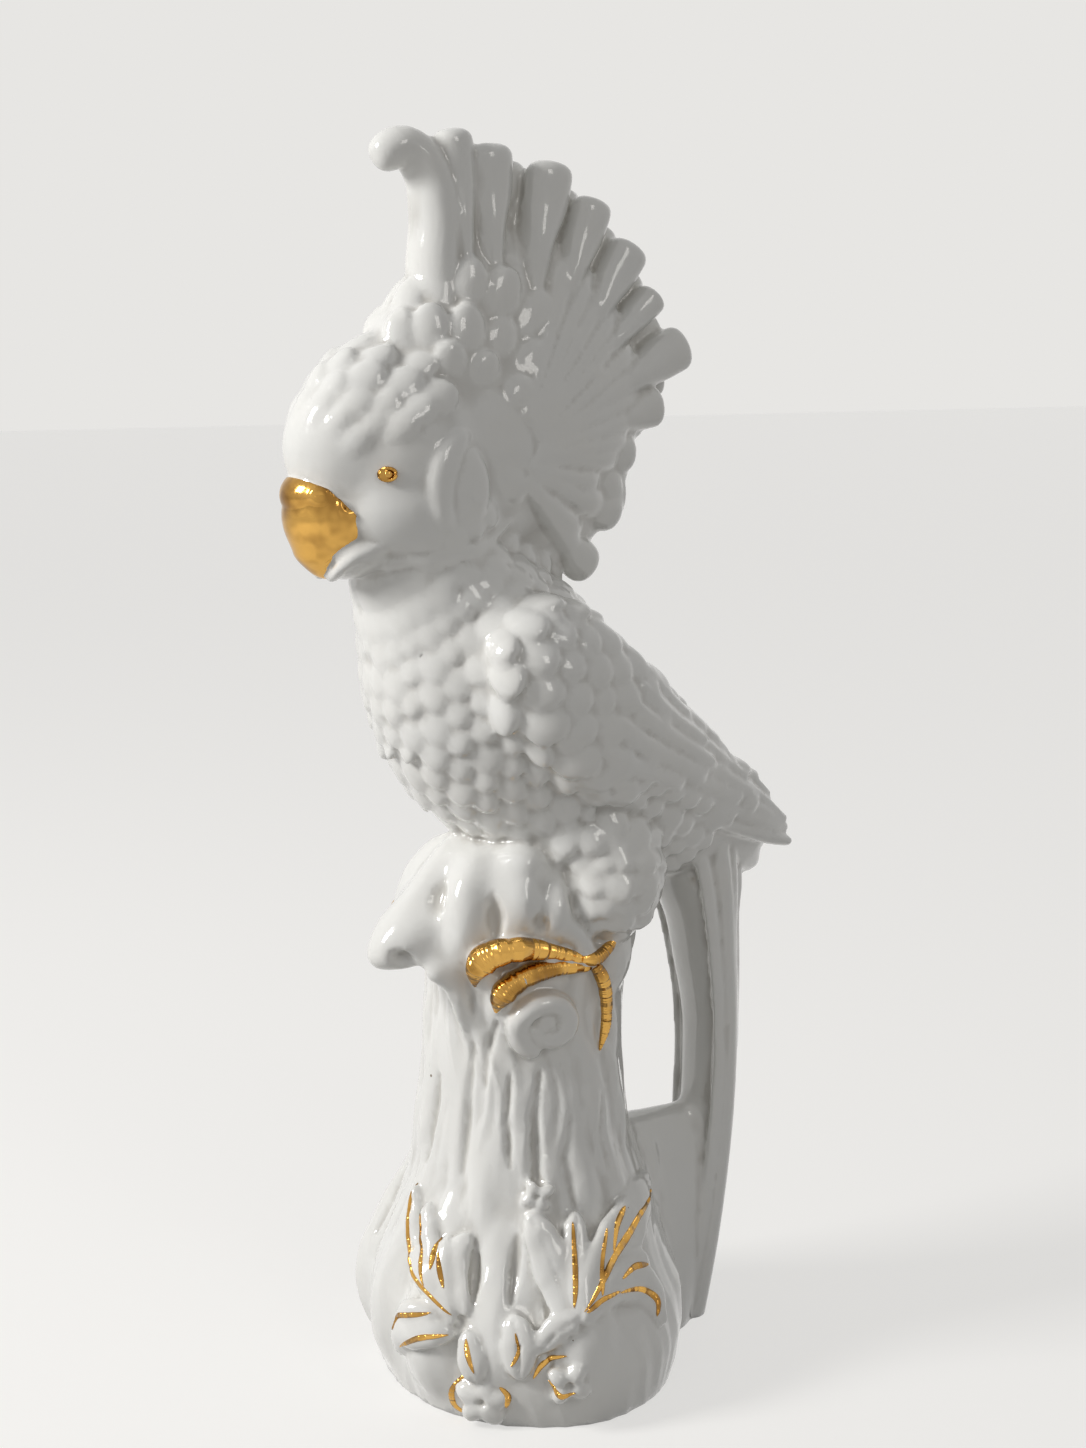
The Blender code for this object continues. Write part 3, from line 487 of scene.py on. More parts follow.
# Roots that flare over the mound: angle at the ground, turn on the way up, top height, reach, thickness
ROOTS = (
    (-8, 6, 66, 2.0, 1.1), (-34, -4, 58, 1.6, 1.0), (-58, -5, 62, 1.8, 1.1), (-92, 4, 70, -0.5, 1.0),
    (-128, -6, 58, 0.0, 1.0), (-165, 7, 66, 0.5, 1.1), (150, -6, 60, 0.5, 1.0), (116, 5, 56, 0.0, 0.9),
    (64, -5, 60, -1.5, 0.8), (28, 6, 72, -1.0, 0.9),
)


def away_at(angle):
    """The level direction at an angle in degrees round the stump."""
    turn = math.radians(angle)
    return Vector((math.cos(turn), math.sin(turn), 0))


def roots(bm):
    """Lobes that flare from the trunk over the mound."""
    shape = ((1.5, None, 6.5, 0.42), (1.0, 46, 6.5, 0.70), (0.3, 24, 8, 1.0), (0, 3, 8.5, 1.0))
    for angle, swing, high, reach, thick in ROOTS:
        points = []
        radii = []
        for turned, height, inset, size in shape:
            level = (height or high) * MM
            turn = angle + swing * turned
            bulge = reach if turned < 1 else 0
            out = mound_radius(math.radians(turn), level) - (inset - bulge) * MM
            points.append(away_at(turn) * out + UP * level)
            radii.append(11 * MM * thick * size)
        lobe(bm, points, radii, radii, away_at(angle), 16, 20)


def stub(bm):
    """The broken branch at the front, pointing forward and down."""
    path = [PERCH + mm(*place) for place in ((2, -8, 22), (2, -24, 17), (3, -37, 10), (3, -49, 3))]
    widths = [14 * MM, 13 * MM, 11 * MM, 5 * MM]
    lobe(bm, path, widths, [11 * MM, 11 * MM, 9 * MM, 4 * MM], UP, 16, 24)


# Burrs on top of the stump, round the belly: place from the perch and radii
BURRS = (
    (mm(6, -17, 21), mm(12, 9, 10)), (mm(-8, -16, 20), mm(12, 10, 11)),
    (mm(19, -13, 12), mm(9, 9, 11)), (mm(-20, -8, 10), mm(10, 13, 12)),
    (mm(20, -2, -8), mm(9, 20, 12)), (mm(-20, 2, -8), mm(10, 18, 12)),
    (mm(2, 22, 4), mm(16, 10, 13)), (mm(21, 14, 2), mm(9, 11, 14)),
    (mm(-21, 14, 2), mm(9, 11, 14)), (mm(14, -19, 4), mm(9, 8, 10)),
    (mm(22, -3, 14), mm(8, 9, 9)), (mm(8, -19, 26), mm(12, 8, 10)),
    (mm(18, -13, 21), mm(10, 8, 12)), (mm(18, -9, 31), mm(10, 8, 7)),
    (mm(20, -1, 27), mm(7, 8, 7)), (mm(-8, -18, 25), mm(12, 8, 10)),
)


def burrs(bm):
    """The swellings that carry the bird."""
    for centre, radii in BURRS:
        egg(bm, PERCH + centre, radii)


TAIL_HALF_WIDTH = 11.5 * MM
TAIL_HALF_THICKNESS = 6.2 * MM


def tail_points():
    """The tail's middle line, from inside the rump to below the ground."""
    rump = body_point(0.72, 14 * MM)
    fall = rump.z + SINK
    line = ((0, 0), (5, 0.13), (8.6, 0.26), (11.4, 0.43), (10.4, 0.61), (6.8, 0.8), (0.0, 1))
    return [rump + Vector((0, back * MM, -drop * fall)) for back, drop in line]


TAIL_WIDTHS = [TAIL_HALF_WIDTH * w for w in (1.6, 1.4, 1.15, 1.0, 0.95, 0.9, 0.9)]
TAIL_DEPTHS = [TAIL_HALF_THICKNESS * d for d in (2.7, 2.0, 1.4, 1.05, 1.05, 1.1, 1.1)]


def tail(bm):
    """The long tail that hangs behind the stump down to the ground."""
    lobe(bm, tail_points(), TAIL_WIDTHS, TAIL_DEPTHS, Vector((0, 1, 0.1)), 30, 28)


def web(bm):
    """The wall of bark that ties the tail's lower half to the stump."""
    line = tail_points()
    near = TRUNK_RADIUS * 0.5
    rings = []
    levels = ((-5, 18.2), (8, 16.8), (22, 14.7), (40, 12.25), (54, 9.45), (64, 5.6), (67, 2.8))
    for height, half in levels:
        share = 1 - (height * MM + SINK) / (line[0].z + SINK)
        far = along_path(line, min(1, share)).y
        centre = Vector((0, (far + near) / 2, height * MM))
        reach = Vector((0, (far - near) / 2 + 2 * MM, 0))
        rings.append(oval(centre, SIDE * half * MM, reach, 32, 0.9))
    skin_over(bm, rings)


def bird_core(bm):
    """Every plain form of the bird."""
    for build in (torso, mantle, skull, crest_web):
        build(bm)
    in_pairs(bm, cheek, wing, thigh)


def stump_core(bm):
    """Every plain form of stump and tail, with the folds and strands of the bark."""
    for build in (stump, roots, stub, burrs, web, tail, folds, strands):
        build(bm)


# Details laid on the core skins. SKINS keeps the skin of bird and stump, and a tree of each, once made

SKINS = {}


def skins():
    """The softened cores of bird and stump, and trees for casting on to them."""
    if not SKINS:
        for name, build in (("bird", bird_core), ("stump", stump_core)):
            core = fused(built(build), CORE_CELL, CORE_SOFTENING)
            SKINS[name] = core
            SKINS[name + "_tree"] = BVHTree.FromBMesh(core)
    return SKINS


def on_bird(y, z, out=0.0):
    """The point on the bird's left side at a depth and height in millimetres, moved out by metres."""
    point, normal, _, _ = skins()["bird_tree"].ray_cast(mm(90, y, z), -SIDE)
    if point is None:
        point, normal, _, _ = skins()["bird_tree"].find_nearest(mm(8, y, z))
    return point + normal * out


def on_stump(angle, height, out=0.0):
    """A point at an angle in degrees round the stump and a height in millimetres."""
    away = away_at(angle)
    middle = mm(0, 5, height)
    point = skins()["stump_tree"].ray_cast(middle + away * FAR_OUT, -away)[0]
    return point + away * out


# The sine of the steepest tilt of a feather, and the length over which the sizes of feathers wander
STEEPEST_TILT = 0.6
WANDER_LENGTH = 6 * MM


def lay_scale(bm, outside, inside, flow, half_length, half_width, rise, dome):
    """One rounded feather, where the line from outside to inside meets the skin. Its tip is lifted.

    A line that meets the skin from within lays none.
    """
    inward = (inside - outside).normalized()
    point, normal, _, _ = skins()["bird_tree"].ray_cast(outside, inward)
    if point is None or normal.dot(inward) > 0:
        return
    tilt = math.asin(min(STEEPEST_TILT, rise / half_length))
    axes = Matrix.Rotation(-tilt, 3, normal.cross(flow).normalized()) @ facing(normal, flow)
    depth = half_width * dome
    egg(bm, point + normal * (rise * 0.45 - depth * 0.75), (half_length, half_width, depth), axes, 3)


def uneven(place, amount):
    """A size factor that wanders from place to place, so that no two feathers are quite alike."""
    return 1 + amount * noise.noise(place / WANDER_LENGTH)


def chest_scales(bm):
    """Rounded feathers on the breast, belly, flanks and back, in staggered rows."""
    pitch = sizes().feather_pitch
    row_step = pitch * 0.84
    count = round(2 * math.pi * CHEST_HALF_DEPTH * 0.96 / pitch)
    for row in range(round(BODY_LENGTH / row_step)):
        along = -0.20 + row * row_step / BODY_LENGTH
        centre = body_point(along, -8 * MM)
        rise = sizes().feather_rise * min(1.0, 0.42 + 0.09 * row)
        for k in range(count):
            turn = 2 * math.pi * (k + 0.5 * (row % 2)) / count
            out = math.sin(turn) * SIDE - math.cos(turn) * BODY_BACK
            wander = uneven(centre + out * 30 * MM, 0.45)
            inside = centre + BODY_AXIS * (wander - 1) * 4 * MM
            outside = inside + out * 90 * MM
            size = pitch * wander
            lay_scale(bm, outside, inside, BODY_AXIS, size * 0.80, size * 0.565, rise, 0.42)


# Feathers of the brow: first and last angle from the beak's line, and the head's radius across and along
BROW_FROM = math.radians(50)
BROW_TO = math.radians(104)
HEAD_RADIUS = 28 * MM
BROW_RADIUS = 29 * MM


def head_scales(bm):
    """Feathers on the brow, growing towards the crest."""
    axis = Vector((0, -0.93, -0.37)).normalized()
    upward = SIDE.cross(axis).normalized()
    polar = BROW_FROM
    half = sizes().feather_pitch * 0.46
    row = 0
    while polar < BROW_TO:
        count = max(6, int(math.sin(polar) * 2 * math.pi * HEAD_RADIUS / (half * 1.8)))
        for k in range(count):
            turn = 2 * math.pi * (k + 0.5 * (row % 2)) / count
            round_axis = math.cos(turn) * upward + math.sin(turn) * SIDE
            out = math.cos(polar) * axis + math.sin(polar) * round_axis
            if out.z < 0.16 + 0.2 * (polar - 0.9):
                continue
            flow = (out * math.cos(polar) - axis).normalized()
            rise = sizes().feather_rise * min(1, 0.35 + 0.16 * row) * 0.9
            width = half * uneven(HEAD + out * 30 * MM, 0.4)
            lay_scale(bm, HEAD + out * 80 * MM, HEAD, flow, width * 1.5, width, rise, 0.44)
        polar += half * 1.6 / BROW_RADIUS
        half *= 1.1
        row += 1


def crest_folds(bm):
    """The creased roots of the crest feathers, which fan out from behind the ear."""
    heart = Vector((0, -14, 267))
    depths = [d * MM for d in (1.5, 2.4, 2.8, 2.6, 1.6)]
    for half, places in CREST_NEAR[3:] + CREST_FAR[3:]:
        tip = Vector((0, *places[-1]))
        marks = [heart.lerp(tip, share) for share in (0.16, 0.34, 0.52, 0.7, 0.84)]
        path = [on_bird(mark.y, mark.z, -0.4 * MM) for mark in marks]
        widths = [half * MM * w for w in (0.26, 0.42, 0.58, 0.7, 0.6)]
        lobe(bm, path, widths, depths, SIDE, 16, 16)


# Large feathers where the crest leaves the head, in three rows from the top: depth, height,
# half length and half width, in millimetres
CREST_ROOTS = (
    (-36, 309.5, 8.6, 4.8), (-28.5, 312.5, 9.4, 5.4), (-20, 313, 9.6, 5.6), (-10.5, 310.5, 10.0, 6.2),
    (-0.5, 305, 10.4, 6.4), (9, 298, 8.4, 4.8), (16, 288, 7.6, 4.0),
    (-40, 301, 6.6, 4.8), (-32.5, 302.5, 8.0, 5.6), (-22.5, 302, 8.4, 6.0), (-12, 299, 8.0, 5.6),
    (-3, 293.5, 8.6, 5.2),
    (-29, 293.5, 6.6, 5.0), (-18.5, 291, 6.6, 5.0), (-9, 285, 6.4, 4.6),
)


def crest_root_scales(bm):
    """Large feathers at the root of the crest, which fan out from the head's middle."""
    rise = sizes().feather_rise
    heart = HEAD + mm(0, 4, -6)
    for y, z, length, width in CREST_ROOTS:
        inside = mm(0, y, z)
        outside = inside + SIDE * 60 * MM
        flow = (inside - heart).normalized()
        lay_scale(bm, outside, inside, flow, length * MM, width * MM, rise, 0.5)


def circle(y, z, reach_y, reach_z):
    """Eleven marks round an oval seen from the side, the last on the first."""
    turns = [2 * math.pi * k / 10 for k in range(11)]
    return [(y + reach_y * math.cos(turn), z + reach_z * math.sin(turn)) for turn in turns]


def small_ring(bm, path, radius, face):
    """A round cord along a closed path."""
    lobe(bm, path, [radius] * 3, [radius] * 3, face, 30, 10)


def cheek_details(bm):
    """The lower edge of the cheek, and the raised ear patch with its small ring."""
    edge = (
        (-57.5, 238.5), (-53, 239.2), (-48, 241.0), (-42, 242.4), (-36, 241.6),
        (-30, 243.0), (-24, 244.6), (-17, 247.6), (-10, 252),
    )
    path = [on_bird(y, z, -0.4 * MM) for y, z in edge]
    radii = [r * MM for r in (1.2, 1.9, 2.4, 2.1, 2.7, 2.2, 2.5, 2.0, 1.2)]
    lobe(bm, path, radii, [r * 0.85 for r in radii], SIDE, 26, 14)
    patch = facing(Vector((0.98, -0.18, 0.05)).normalized(), UP)
    egg(bm, on_bird(-28.5, 261.5, -3.4 * MM), mm(13, 9.5, 5.4), patch)
    crescent = (
        (-25.5, 275.0), (-30.5, 273), (-34.4, 267.5), (-35.8, 261), (-35.4, 254.5), (-33.0, 249.0),
    )
    path = [on_bird(y, z, -0.4 * MM) for y, z in crescent]
    widths = [w * MM for w in (1.8, 3.4, 4.4, 4.2, 3.0, 1.4)]
    lobe(bm, path, widths, [w * 0.62 for w in widths], SIDE, 20, 14)
    small_ring(bm, [on_bird(y, z, 1.6 * MM) for y, z in circle(-25.5, 259.6, 2.3, 2.5)], 0.9 * MM, SIDE)


def beak_form(bm):
    """The full hooked upper beak."""
    egg(bm, mm(0, -55, 253.5), mm(15.5, 14.4, 13.4), fineness=5)
    egg(bm, mm(0, -56, 259), mm(13.5, 14.2, 9), fineness=5)
    path = [mm(0, y, z) for y, z in ((-54.5, 259), (-58, 251.5), (-58.6, 244), (-57.4, 236.6))]
    widths = [w * MM for w in (13.5, 13, 9.5, 3.4)]
    depths = [d * MM for d in (11.6, 11.6, 8.6, 3.8)]
    lobe(bm, path, widths, depths, Vector((0, -1, 0.2)), 40, 48)


def jaw(bm):
    """The white lower beak and chin, tucked behind the hook."""
    egg(bm, mm(0, -50.5, 245), mm(17.2, 11.5, 8.2))
    rim = (
        (17, -47, 246.4), (15.6, -52.5, 245.4), (12.4, -56.8, 242.4), (7.5, -58.6, 238.8),
        (2.5, -58.2, 236.4),
    )
    radii = [r * MM for r in (1.4, 1.7, 1.8, 1.6, 1.3)]
    for side in (1, -1):
        lobe(bm, [mm(side * x, y, z) for x, y, z in rim], radii, radii, UP, 22, 14)
    egg(bm, mm(0, -53.5, 241), mm(12.8, 7.2, 5))


def covert_scales(bm):
    """Overlapping feathers on the shoulder of the wing."""
    spine = wing_spine()
    length = sum((b - a).length for a, b in zip(spine, spine[1:]))
    half = sizes().feather_pitch * 0.66
    share = 0.05
    row = 0
    while share < 0.49:
        local = between(WING_WIDTHS, share) * WING_HALF_WIDTH
        for k in range(-5, 6):
            across = (k + 0.5 * (row % 2)) * half * 1.72 / local
            if abs(across) > 0.98:
                continue
            inside = wing_point(share, across)
            wander = uneven(inside, 0.3)
            outside = inside + WING_FACE * 40 * MM
            rise = sizes().feather_rise * 1.4 * wander
            width = half * wander
            lay_scale(bm, outside, inside, wing_flow(share), width * 1.34, width, rise, 0.48)
        share += half * 1.4 / length
        half *= 1.03
        row += 1


# Long wing feathers, shortest first: start and end along the wing, place across it, lift in mm
QUILLS = (
    (0.40, 0.60, 0.78, 1.9), (0.40, 0.66, 0.50, 2.3), (0.40, 0.70, 0.20, 2.5),
    (0.38, 0.68, -0.12, 2.2), (0.36, 0.62, -0.44, 1.8),
    (0.50, 0.76, 0.82, 1.1), (0.50, 0.82, 0.50, 1.4), (0.50, 0.84, 0.16, 1.5), (0.50, 0.80, -0.20, 1.2),
    (0.55, 0.90, 0.74, 0.4), (0.55, 0.96, 0.34, 0.6), (0.55, 0.98, -0.06, 0.5), (0.55, 1.03, -0.42, 0.4),
)


def quills(bm):
    """The long feathers behind the coverts, lapped like slates, and the wing's rolled lower edge."""
    tree = skins()["bird_tree"]
    face = (WING_FACE + UP * 0.5).normalized()
    for start, end, across, lift in QUILLS:
        points, widths = [], []
        for k in range(6):
            share = start + (end - start) * k / 5
            place = wing_point(share, across)
            hit = tree.ray_cast(place + WING_FACE * 40 * MM, -WING_FACE)[0] or place
            points.append(hit + WING_FACE * (lift - 1.2) * MM)
            widths.append(between(WING_WIDTHS, min(1, share)) * WING_HALF_WIDTH * 0.15 + 0.9 * MM)
        lobe(bm, points, widths, [2.0 * MM] * 5 + [1.8 * MM], face, 20, 16)
        shaft = [p + face * 1.8 * MM for p in points]
        lobe(bm, shaft, [0.9 * MM] * 3, [0.8 * MM] * 3, face, 14, 8)
    edge = [wing_point(share, -0.86, 3.0 * MM) for share in (0.26, 0.42, 0.58, 0.74, 0.9, 1.0)]
    widths = [w * MM for w in (2.6, 3.4, 3.6, 3.2, 2.6, 1.6)]
    lobe(bm, edge, widths, [2.6 * MM] * 6, WING_FACE, 26, 14)


def thigh_scales(bm):
    """Curled feathers that hang over the foot."""
    half = sizes().feather_pitch * 0.58
    down = Vector((0, 0.25, -1)).normalized()
    for row in range(7):
        height = THIGH_RADIUS * 1.1 - row * half * 1.25
        for k in range(11):
            out = away_at(-130 + 26 * k + 13 * (row % 2))
            inside = THIGH + UP * height
            outside = inside + out * THIGH_RADIUS * 1.7
            width = half * uneven(inside + out * 10 * MM, 0.3)
            lay_scale(bm, outside, inside, down, width * 1.3, width, sizes().feather_rise * 0.95, 0.42)


def rump_feathers(bm):
    """Short feathers over the root of the tail, between the wing tips."""
    widths, depths = [8 * MM, 7 * MM, 5 * MM], [7 * MM, 5 * MM, 3.2 * MM]
    for side, reach, back in ((0, 0.99, 21), (8, 0.92, 17), (-8, 0.92, 17), (4, 0.86, 21), (-4, 0.86, 21)):
        start = body_point(0.58, 14 * MM, side * MM)
        end = body_point(reach, back * MM, side * MM * 0.8)
        lobe(bm, [start, (start + end) / 2, end], widths, depths, BODY_BACK)


# The tail's feathers: place across it and above it as shares of its half width and thickness, and reach
TAIL_FEATHERS = (
    (0.68, 0.5, 1.0), (-0.68, 0.5, 1.0), (0, 0.86, 1.0), (0.36, 0.9, 0.56), (-0.36, 0.9, 0.56),
    (0, 1.15, 0.40),
)


def tail_strand(side, lift, start, reach):
    """A path down the tail, between two shares of its length."""
    line = tail_points()
    path = []
    for k in range(8):
        share = start + (reach - start) * k / 7
        wide, deep = between(TAIL_WIDTHS, share), between(TAIL_DEPTHS, share)
        path.append(along_path(line, share) + Vector((side * wide, lift * deep, 0)))
    return path


def tail_strands(bm):
    """The tail's long feathers, side by side and lapped, and the creases of its two edges."""
    for side, lift, reach in TAIL_FEATHERS:
        face = Vector((side * 0.8, 1, 0.1))
        lobe(bm, tail_strand(side, lift, 0.06, reach), [4.2 * MM] * 4, [2.2 * MM] * 4, face, 24, 12)
    for side in (0.95, -0.95):
        for lift in (-0.45, 0.1):
            path = tail_strand(side, lift, 0.08, 1.0)
            lobe(bm, path, [2.4 * MM] * 4, [1.3 * MM] * 4, SIDE * side, 24, 10)


# Toes: angles round the stump and heights above the perch in mm, thickness shares, number of rings
TOES = (
    (((6, 2.5), (-14, 6.5), (-34, 9.5), (-50, 7), (-56, -2.5)), (0.45, 0.6, 1.0, 1.25, 0.25), 8),
    (((5, 1.5), (-12, 2.5), (-30, 1.5), (-42, -3), (-46, -9.5)), (0.45, 0.66, 0.92, 1.05, 0.25), 8),
    (((6, 2), (11, -2), (16, -9), (18, -17), (14.5, -25)), (0.5, 0.6, 0.58, 0.5, 0.16), 7),
    (((-8, 4.5), (5, 4), (14, 6), (22, 9)), (0.3, 0.62, 0.5, 0.16), 0),
)
# How far a ring swells, as a share of the toe's radius, and how deep the white lies under the gold
RING_SWELL = 0.09
WHITE_INSET = 0.5 * MM


def eased(points, times):
    """A path with its small steps evened out."""
    for _ in range(times):
        inner = [(a + b * 2 + c) / 4 for a, b, c in zip(points, points[1:], points[2:])]
        points = [points[0]] + inner + [points[-1]]
    return points


def toe(bm, places, shares, rings, swell, side):
    """One toe on the bird's left (side 1) or right (side -1), with ring-shaped swellings."""
    radius = sizes().toe_radius
    marks = [Vector((angle, rise, 0)) for angle, rise in places]
    path = []
    for i in range(25):
        mark, share = along_path(marks, i / 24), between(shares, i / 24)
        angle = mark.x if side > 0 else 180 - mark.x
        path.append(on_stump(angle, PERCH_HEIGHT / MM + mark.y, radius * share * 0.75))
    path = eased(path, 6)
    steps = 96
    ringed = []
    for i in range(steps + 1):
        share = i / steps
        ahead = along_path(path, min(1, share + 0.02)) - along_path(path, max(0, share - 0.02))
        across = ahead.cross(UP).normalized()
        upward = across.cross(ahead).normalized()
        taper = min(1, math.sqrt(max(0.0016, 1 - (1 - min(1, min(share, 1 - share) / 0.08)) ** 2)))
        swing = math.sin(math.pi * min(1, max(0, (share - 0.28) / 0.66)))
        wave = abs(math.cos(math.pi * rings * share)) - 0.64 if rings else 0
        size = radius * between(shares, share) * taper * (1 + RING_SWELL * wave * swing) + swell
        ringed.append(oval(along_path(path, share), across * size, upward * size, 32))
    skin_over(bm, ringed)


def toe_set(bm, swell):
    """The toes of both feet, thicker all round by the swell."""
    for side in (1, -1):
        for places, shares, rings in TOES:
            toe(bm, places, shares, rings, swell, side)


def toes_under(bm):
    """White limbs inside the gilded toes, that tie them to the stump."""
    toe_set(bm, -WHITE_INSET)


# The knot's angle round the stump, its height, its radius and its rim's thickness in millimetres
KNOT_ANGLE = -21
KNOT_HEIGHT = 110.5
KNOT_RADIUS = 8.2
KNOT_RIM = 3.3


def knot(bm):
    """The scroll-shaped knot where a branch healed over, below the left foot."""
    curl = []
    for k in range(14):
        turn = math.radians(255 - 34 * k)
        reach = KNOT_RADIUS * (1 - 0.05 * k)
        turned = math.degrees(reach * math.cos(turn) * MM / TRUNK_RADIUS)
        height = KNOT_HEIGHT + reach * math.sin(turn) * 1.1
        curl.append(on_stump(KNOT_ANGLE + turned, height, KNOT_RIM * 0.42 * MM))
    radii = [KNOT_RIM * r * MM for r in (1, 1, 0.7)]
    lobe(bm, curl, radii, radii, away_at(KNOT_ANGLE), 48, 14)
    egg(bm, on_stump(KNOT_ANGLE - 1, KNOT_HEIGHT + 1.5), mm(3.2, 3.2, 3.6), fineness=3)
    egg(bm, on_stump(KNOT_ANGLE + 5, KNOT_HEIGHT - 1), mm(2.6, 2.6, 3.2), fineness=3)


# Folds and swellings of the bark: half width, then angles round the stump and heights
STRANDS = (
    (3.2, ((-33, 98), (-34, 84), (-33, 70), (-31, 56))),
    (3.0, ((-18, 96), (-22, 84), (-21, 70), (-19, 58))),
    (3.4, ((-45, 112), (-47, 96), (-46, 78), (-48, 60), (-50, 46))),
    (2.8, ((-60, 118), (-61, 100), (-64, 80), (-66, 60))),
    (2.6, ((-75, 116), (-76, 96), (-80, 74), (-82, 52))),
    (3.0, ((-6, 94), (-5, 80), (-2, 66), (2, 54))), (2.8, ((10, 100), (13, 84), (16, 68), (22, 52))),
    (3.4, ((-28, 66), (-26, 54), (-27, 40), (-30, 26))),
    (3.2, ((-42, 60), (-42, 46), (-44, 32), (-45, 18))),
    (3.0, ((-20, 52), (-17, 42), (-15, 28), (-14, 12))), (2.8, ((-90, 110), (-92, 88), (-94, 64))),
    (3.0, ((-108, 114), (-106, 90), (-110, 62))), (3.0, ((-128, 116), (-131, 92), (-130, 60))),
    (3.0, ((-150, 112), (-148, 88), (-152, 58))), (3.0, ((172, 114), (174, 88), (170, 56))),
    (2.8, ((146, 106), (143, 82), (146, 54))), (2.8, ((30, 104), (33, 84), (36, 70))),
    (3.0, ((160, 46), (158, 28), (154, 10))), (3.0, ((-140, 50), (-144, 30), (-146, 10))),
    (3.0, ((-104, 50), (-104, 30), (-102, 10))), (2.8, ((-70, 46), (-70, 30), (-66, 12))),
)


def strands(bm):
    """Raised strands of bark on trunk and mound."""
    for half, places in STRANDS:
        path = []
        for angle, height in places:
            reach = mound_radius(math.radians(angle), height * MM)
            path.append(away_at(angle) * reach + Vector((0, TRUNK_SET_BACK * 0.8, height * MM)))
        radii = [half * MM * w for w in (0.6, 1.5, 1.55, 0.6)]
        lobe(bm, path, radii, [r * 0.62 for r in radii], away_at(places[1][0]), 18, 16)


# Folds that hang over the broken top: places from the perch, top to bottom, and radii, in millimetres
FOLDS = (
    (((0, -12, 35), (3, -24, 29), (4, -36, 17), (4, -46, 6)), (6, 6, 5, 2.6)),
    (((11, -14, 35), (15, -23, 25), (18, -26, 13), (19, -25, 3)), (4.4, 6.4, 6, 2)),
    (((20, -8, 32), (25, -12, 23), (27, -13, 16)), (4, 5.4, 3)),
    (((26, -1, 27), (30, -3, 18), (30.5, -4, 12)), (3, 3.8, 2.2)),
    (((9, -30, 16), (13, -31, 6), (15.5, -28, -6), (15, -25, -20)), (2.2, 3.2, 2.6, 1)),
    (((29, 2, 16), (31, 4, 10), (31, 8, 5)), (2.2, 2.8, 2)),
    (((-7, -13, 34), (-10, -24, 24), (-13, -29, 10), (-12, -28, -4)), (5, 6.5, 5, 2)),
    (((-16, -12, 32), (-21, -19, 18), (-23, -19, 5), (-21, -18, -8)), (4, 5.6, 4.4, 1.8)),
    (((-23, -6, 30), (-28, -9, 15), (-29, -8, 3)), (4, 5, 2)),
    (((-27, 2, 22), (-31, 4, 9), (-30, 7, -2)), (3, 4, 2)),
    (((0, 18, 26), (1, 28, 12), (1, 27, -6)), (7, 6.4, 2.5)),
    (((-14, 16, 26), (-20, 23, 10), (-19, 22, -8)), (5, 5.4, 2)),
    (((14, 16, 26), (20, 23, 10), (19, 22, -8)), (5, 5.4, 2)),
)
# Folds on either side of the wall between stump and tail, given for the bird's left
WEB_FOLDS = (
    (((9, 33, -60), (11.5, 34, -77), (14, 36, -96)), (1.8, 3, 2.2)),
    (((8, 41, -62), (10.5, 42, -80), (12.5, 43, -102)), (1.6, 2.6, 2)),
)
# Small swellings among them: place from the perch and radii
LUMPS = (
    (mm(14.5, -33, 1), mm(3.4, 3.4, 3.8)), (mm(22, -21, 1), mm(3, 3, 5)),
    (mm(27, -12, 20), mm(4, 4, 5)),
)


def fold(bm, places, radii, side=1):
    """One fold of the bark, or its mirror image where the side is -1."""
    path = [PERCH + mm(side * x, y, z) for x, y, z in places]
    radii = [r * MM for r in radii]
    lobe(bm, path, radii, radii, Vector((path[1].x, path[1].y, 0)).normalized(), 18, 16)


def folds(bm):
    """Every fold and lump of the broken top, and the folds of the wall to the tail."""
    for places, radii in FOLDS:
        fold(bm, places, radii)
    for side in (1, -1):
        for places, radii in WEB_FOLDS:
            fold(bm, places, radii, side)
    for centre, radii in LUMPS:
        egg(bm, PERCH + centre, radii, fineness=3)


# Leaves: half width, then angles round the stump and heights in millimetres
LEAVES = (
    (3.0, ((-53, 30), (-66, 40), (-78, 46), (-86, 60))), (2.6, ((-60, 38), (-70, 50), (-76, 57))),
    (2.6, ((-54, 31), (-59, 40), (-62, 51))), (3.4, ((-50, 32), (-57, 44), (-54, 52))),
    (4.2, ((-53, 27), (-61, 27), (-70, 24), (-75, 15))), (3.0, ((-58, 31), (-67, 31), (-74, 25))),
    (6.6, ((-14, 32), (-3, 43), (18, 52), (46, 58))), (3.4, ((-15, 34), (-13, 47), (-11, 58))),
    (5.2, ((-13, 33), (-4, 38), (8, 37), (15, 32), (17, 23))),
    (4.0, ((-11, 34), (2, 40.5), (12, 41), (18, 38))),
    (5.0, ((-18, 29), (-20, 40), (-24, 50), (-30, 59))), (3.4, ((-28, 24), (-22, 30), (-15, 34))),
    (3.6, ((-46, 14), (-47, 21), (-49, 29))), (4.4, ((-33, 16), (-33, 26), (-35, 34))),
)
# Thickness of a leaf, how far from the stump its crease is pressed, and the crease's half width and depth
LEAF_THICKNESS = 2.4 * MM
LEAF_CREASE_OUT = 3.2 * MM
LEAF_CREASE_WIDTH = 0.6 * MM
LEAF_CREASE_DEPTH = 1.0 * MM
# Flowers and the bud: angle, height, reach of a petal in mm, number of petals, turn
FLOWERS = (
    (-44, 8.5, 7.4, 5, 0.2), (-19, 15, 6.0, 4, 0.6), (-33, 26, 4.6, 3, 0.1), (-27, 63, 4.4, 4, 0.3),
)
PETAL_TILT = math.radians(16)


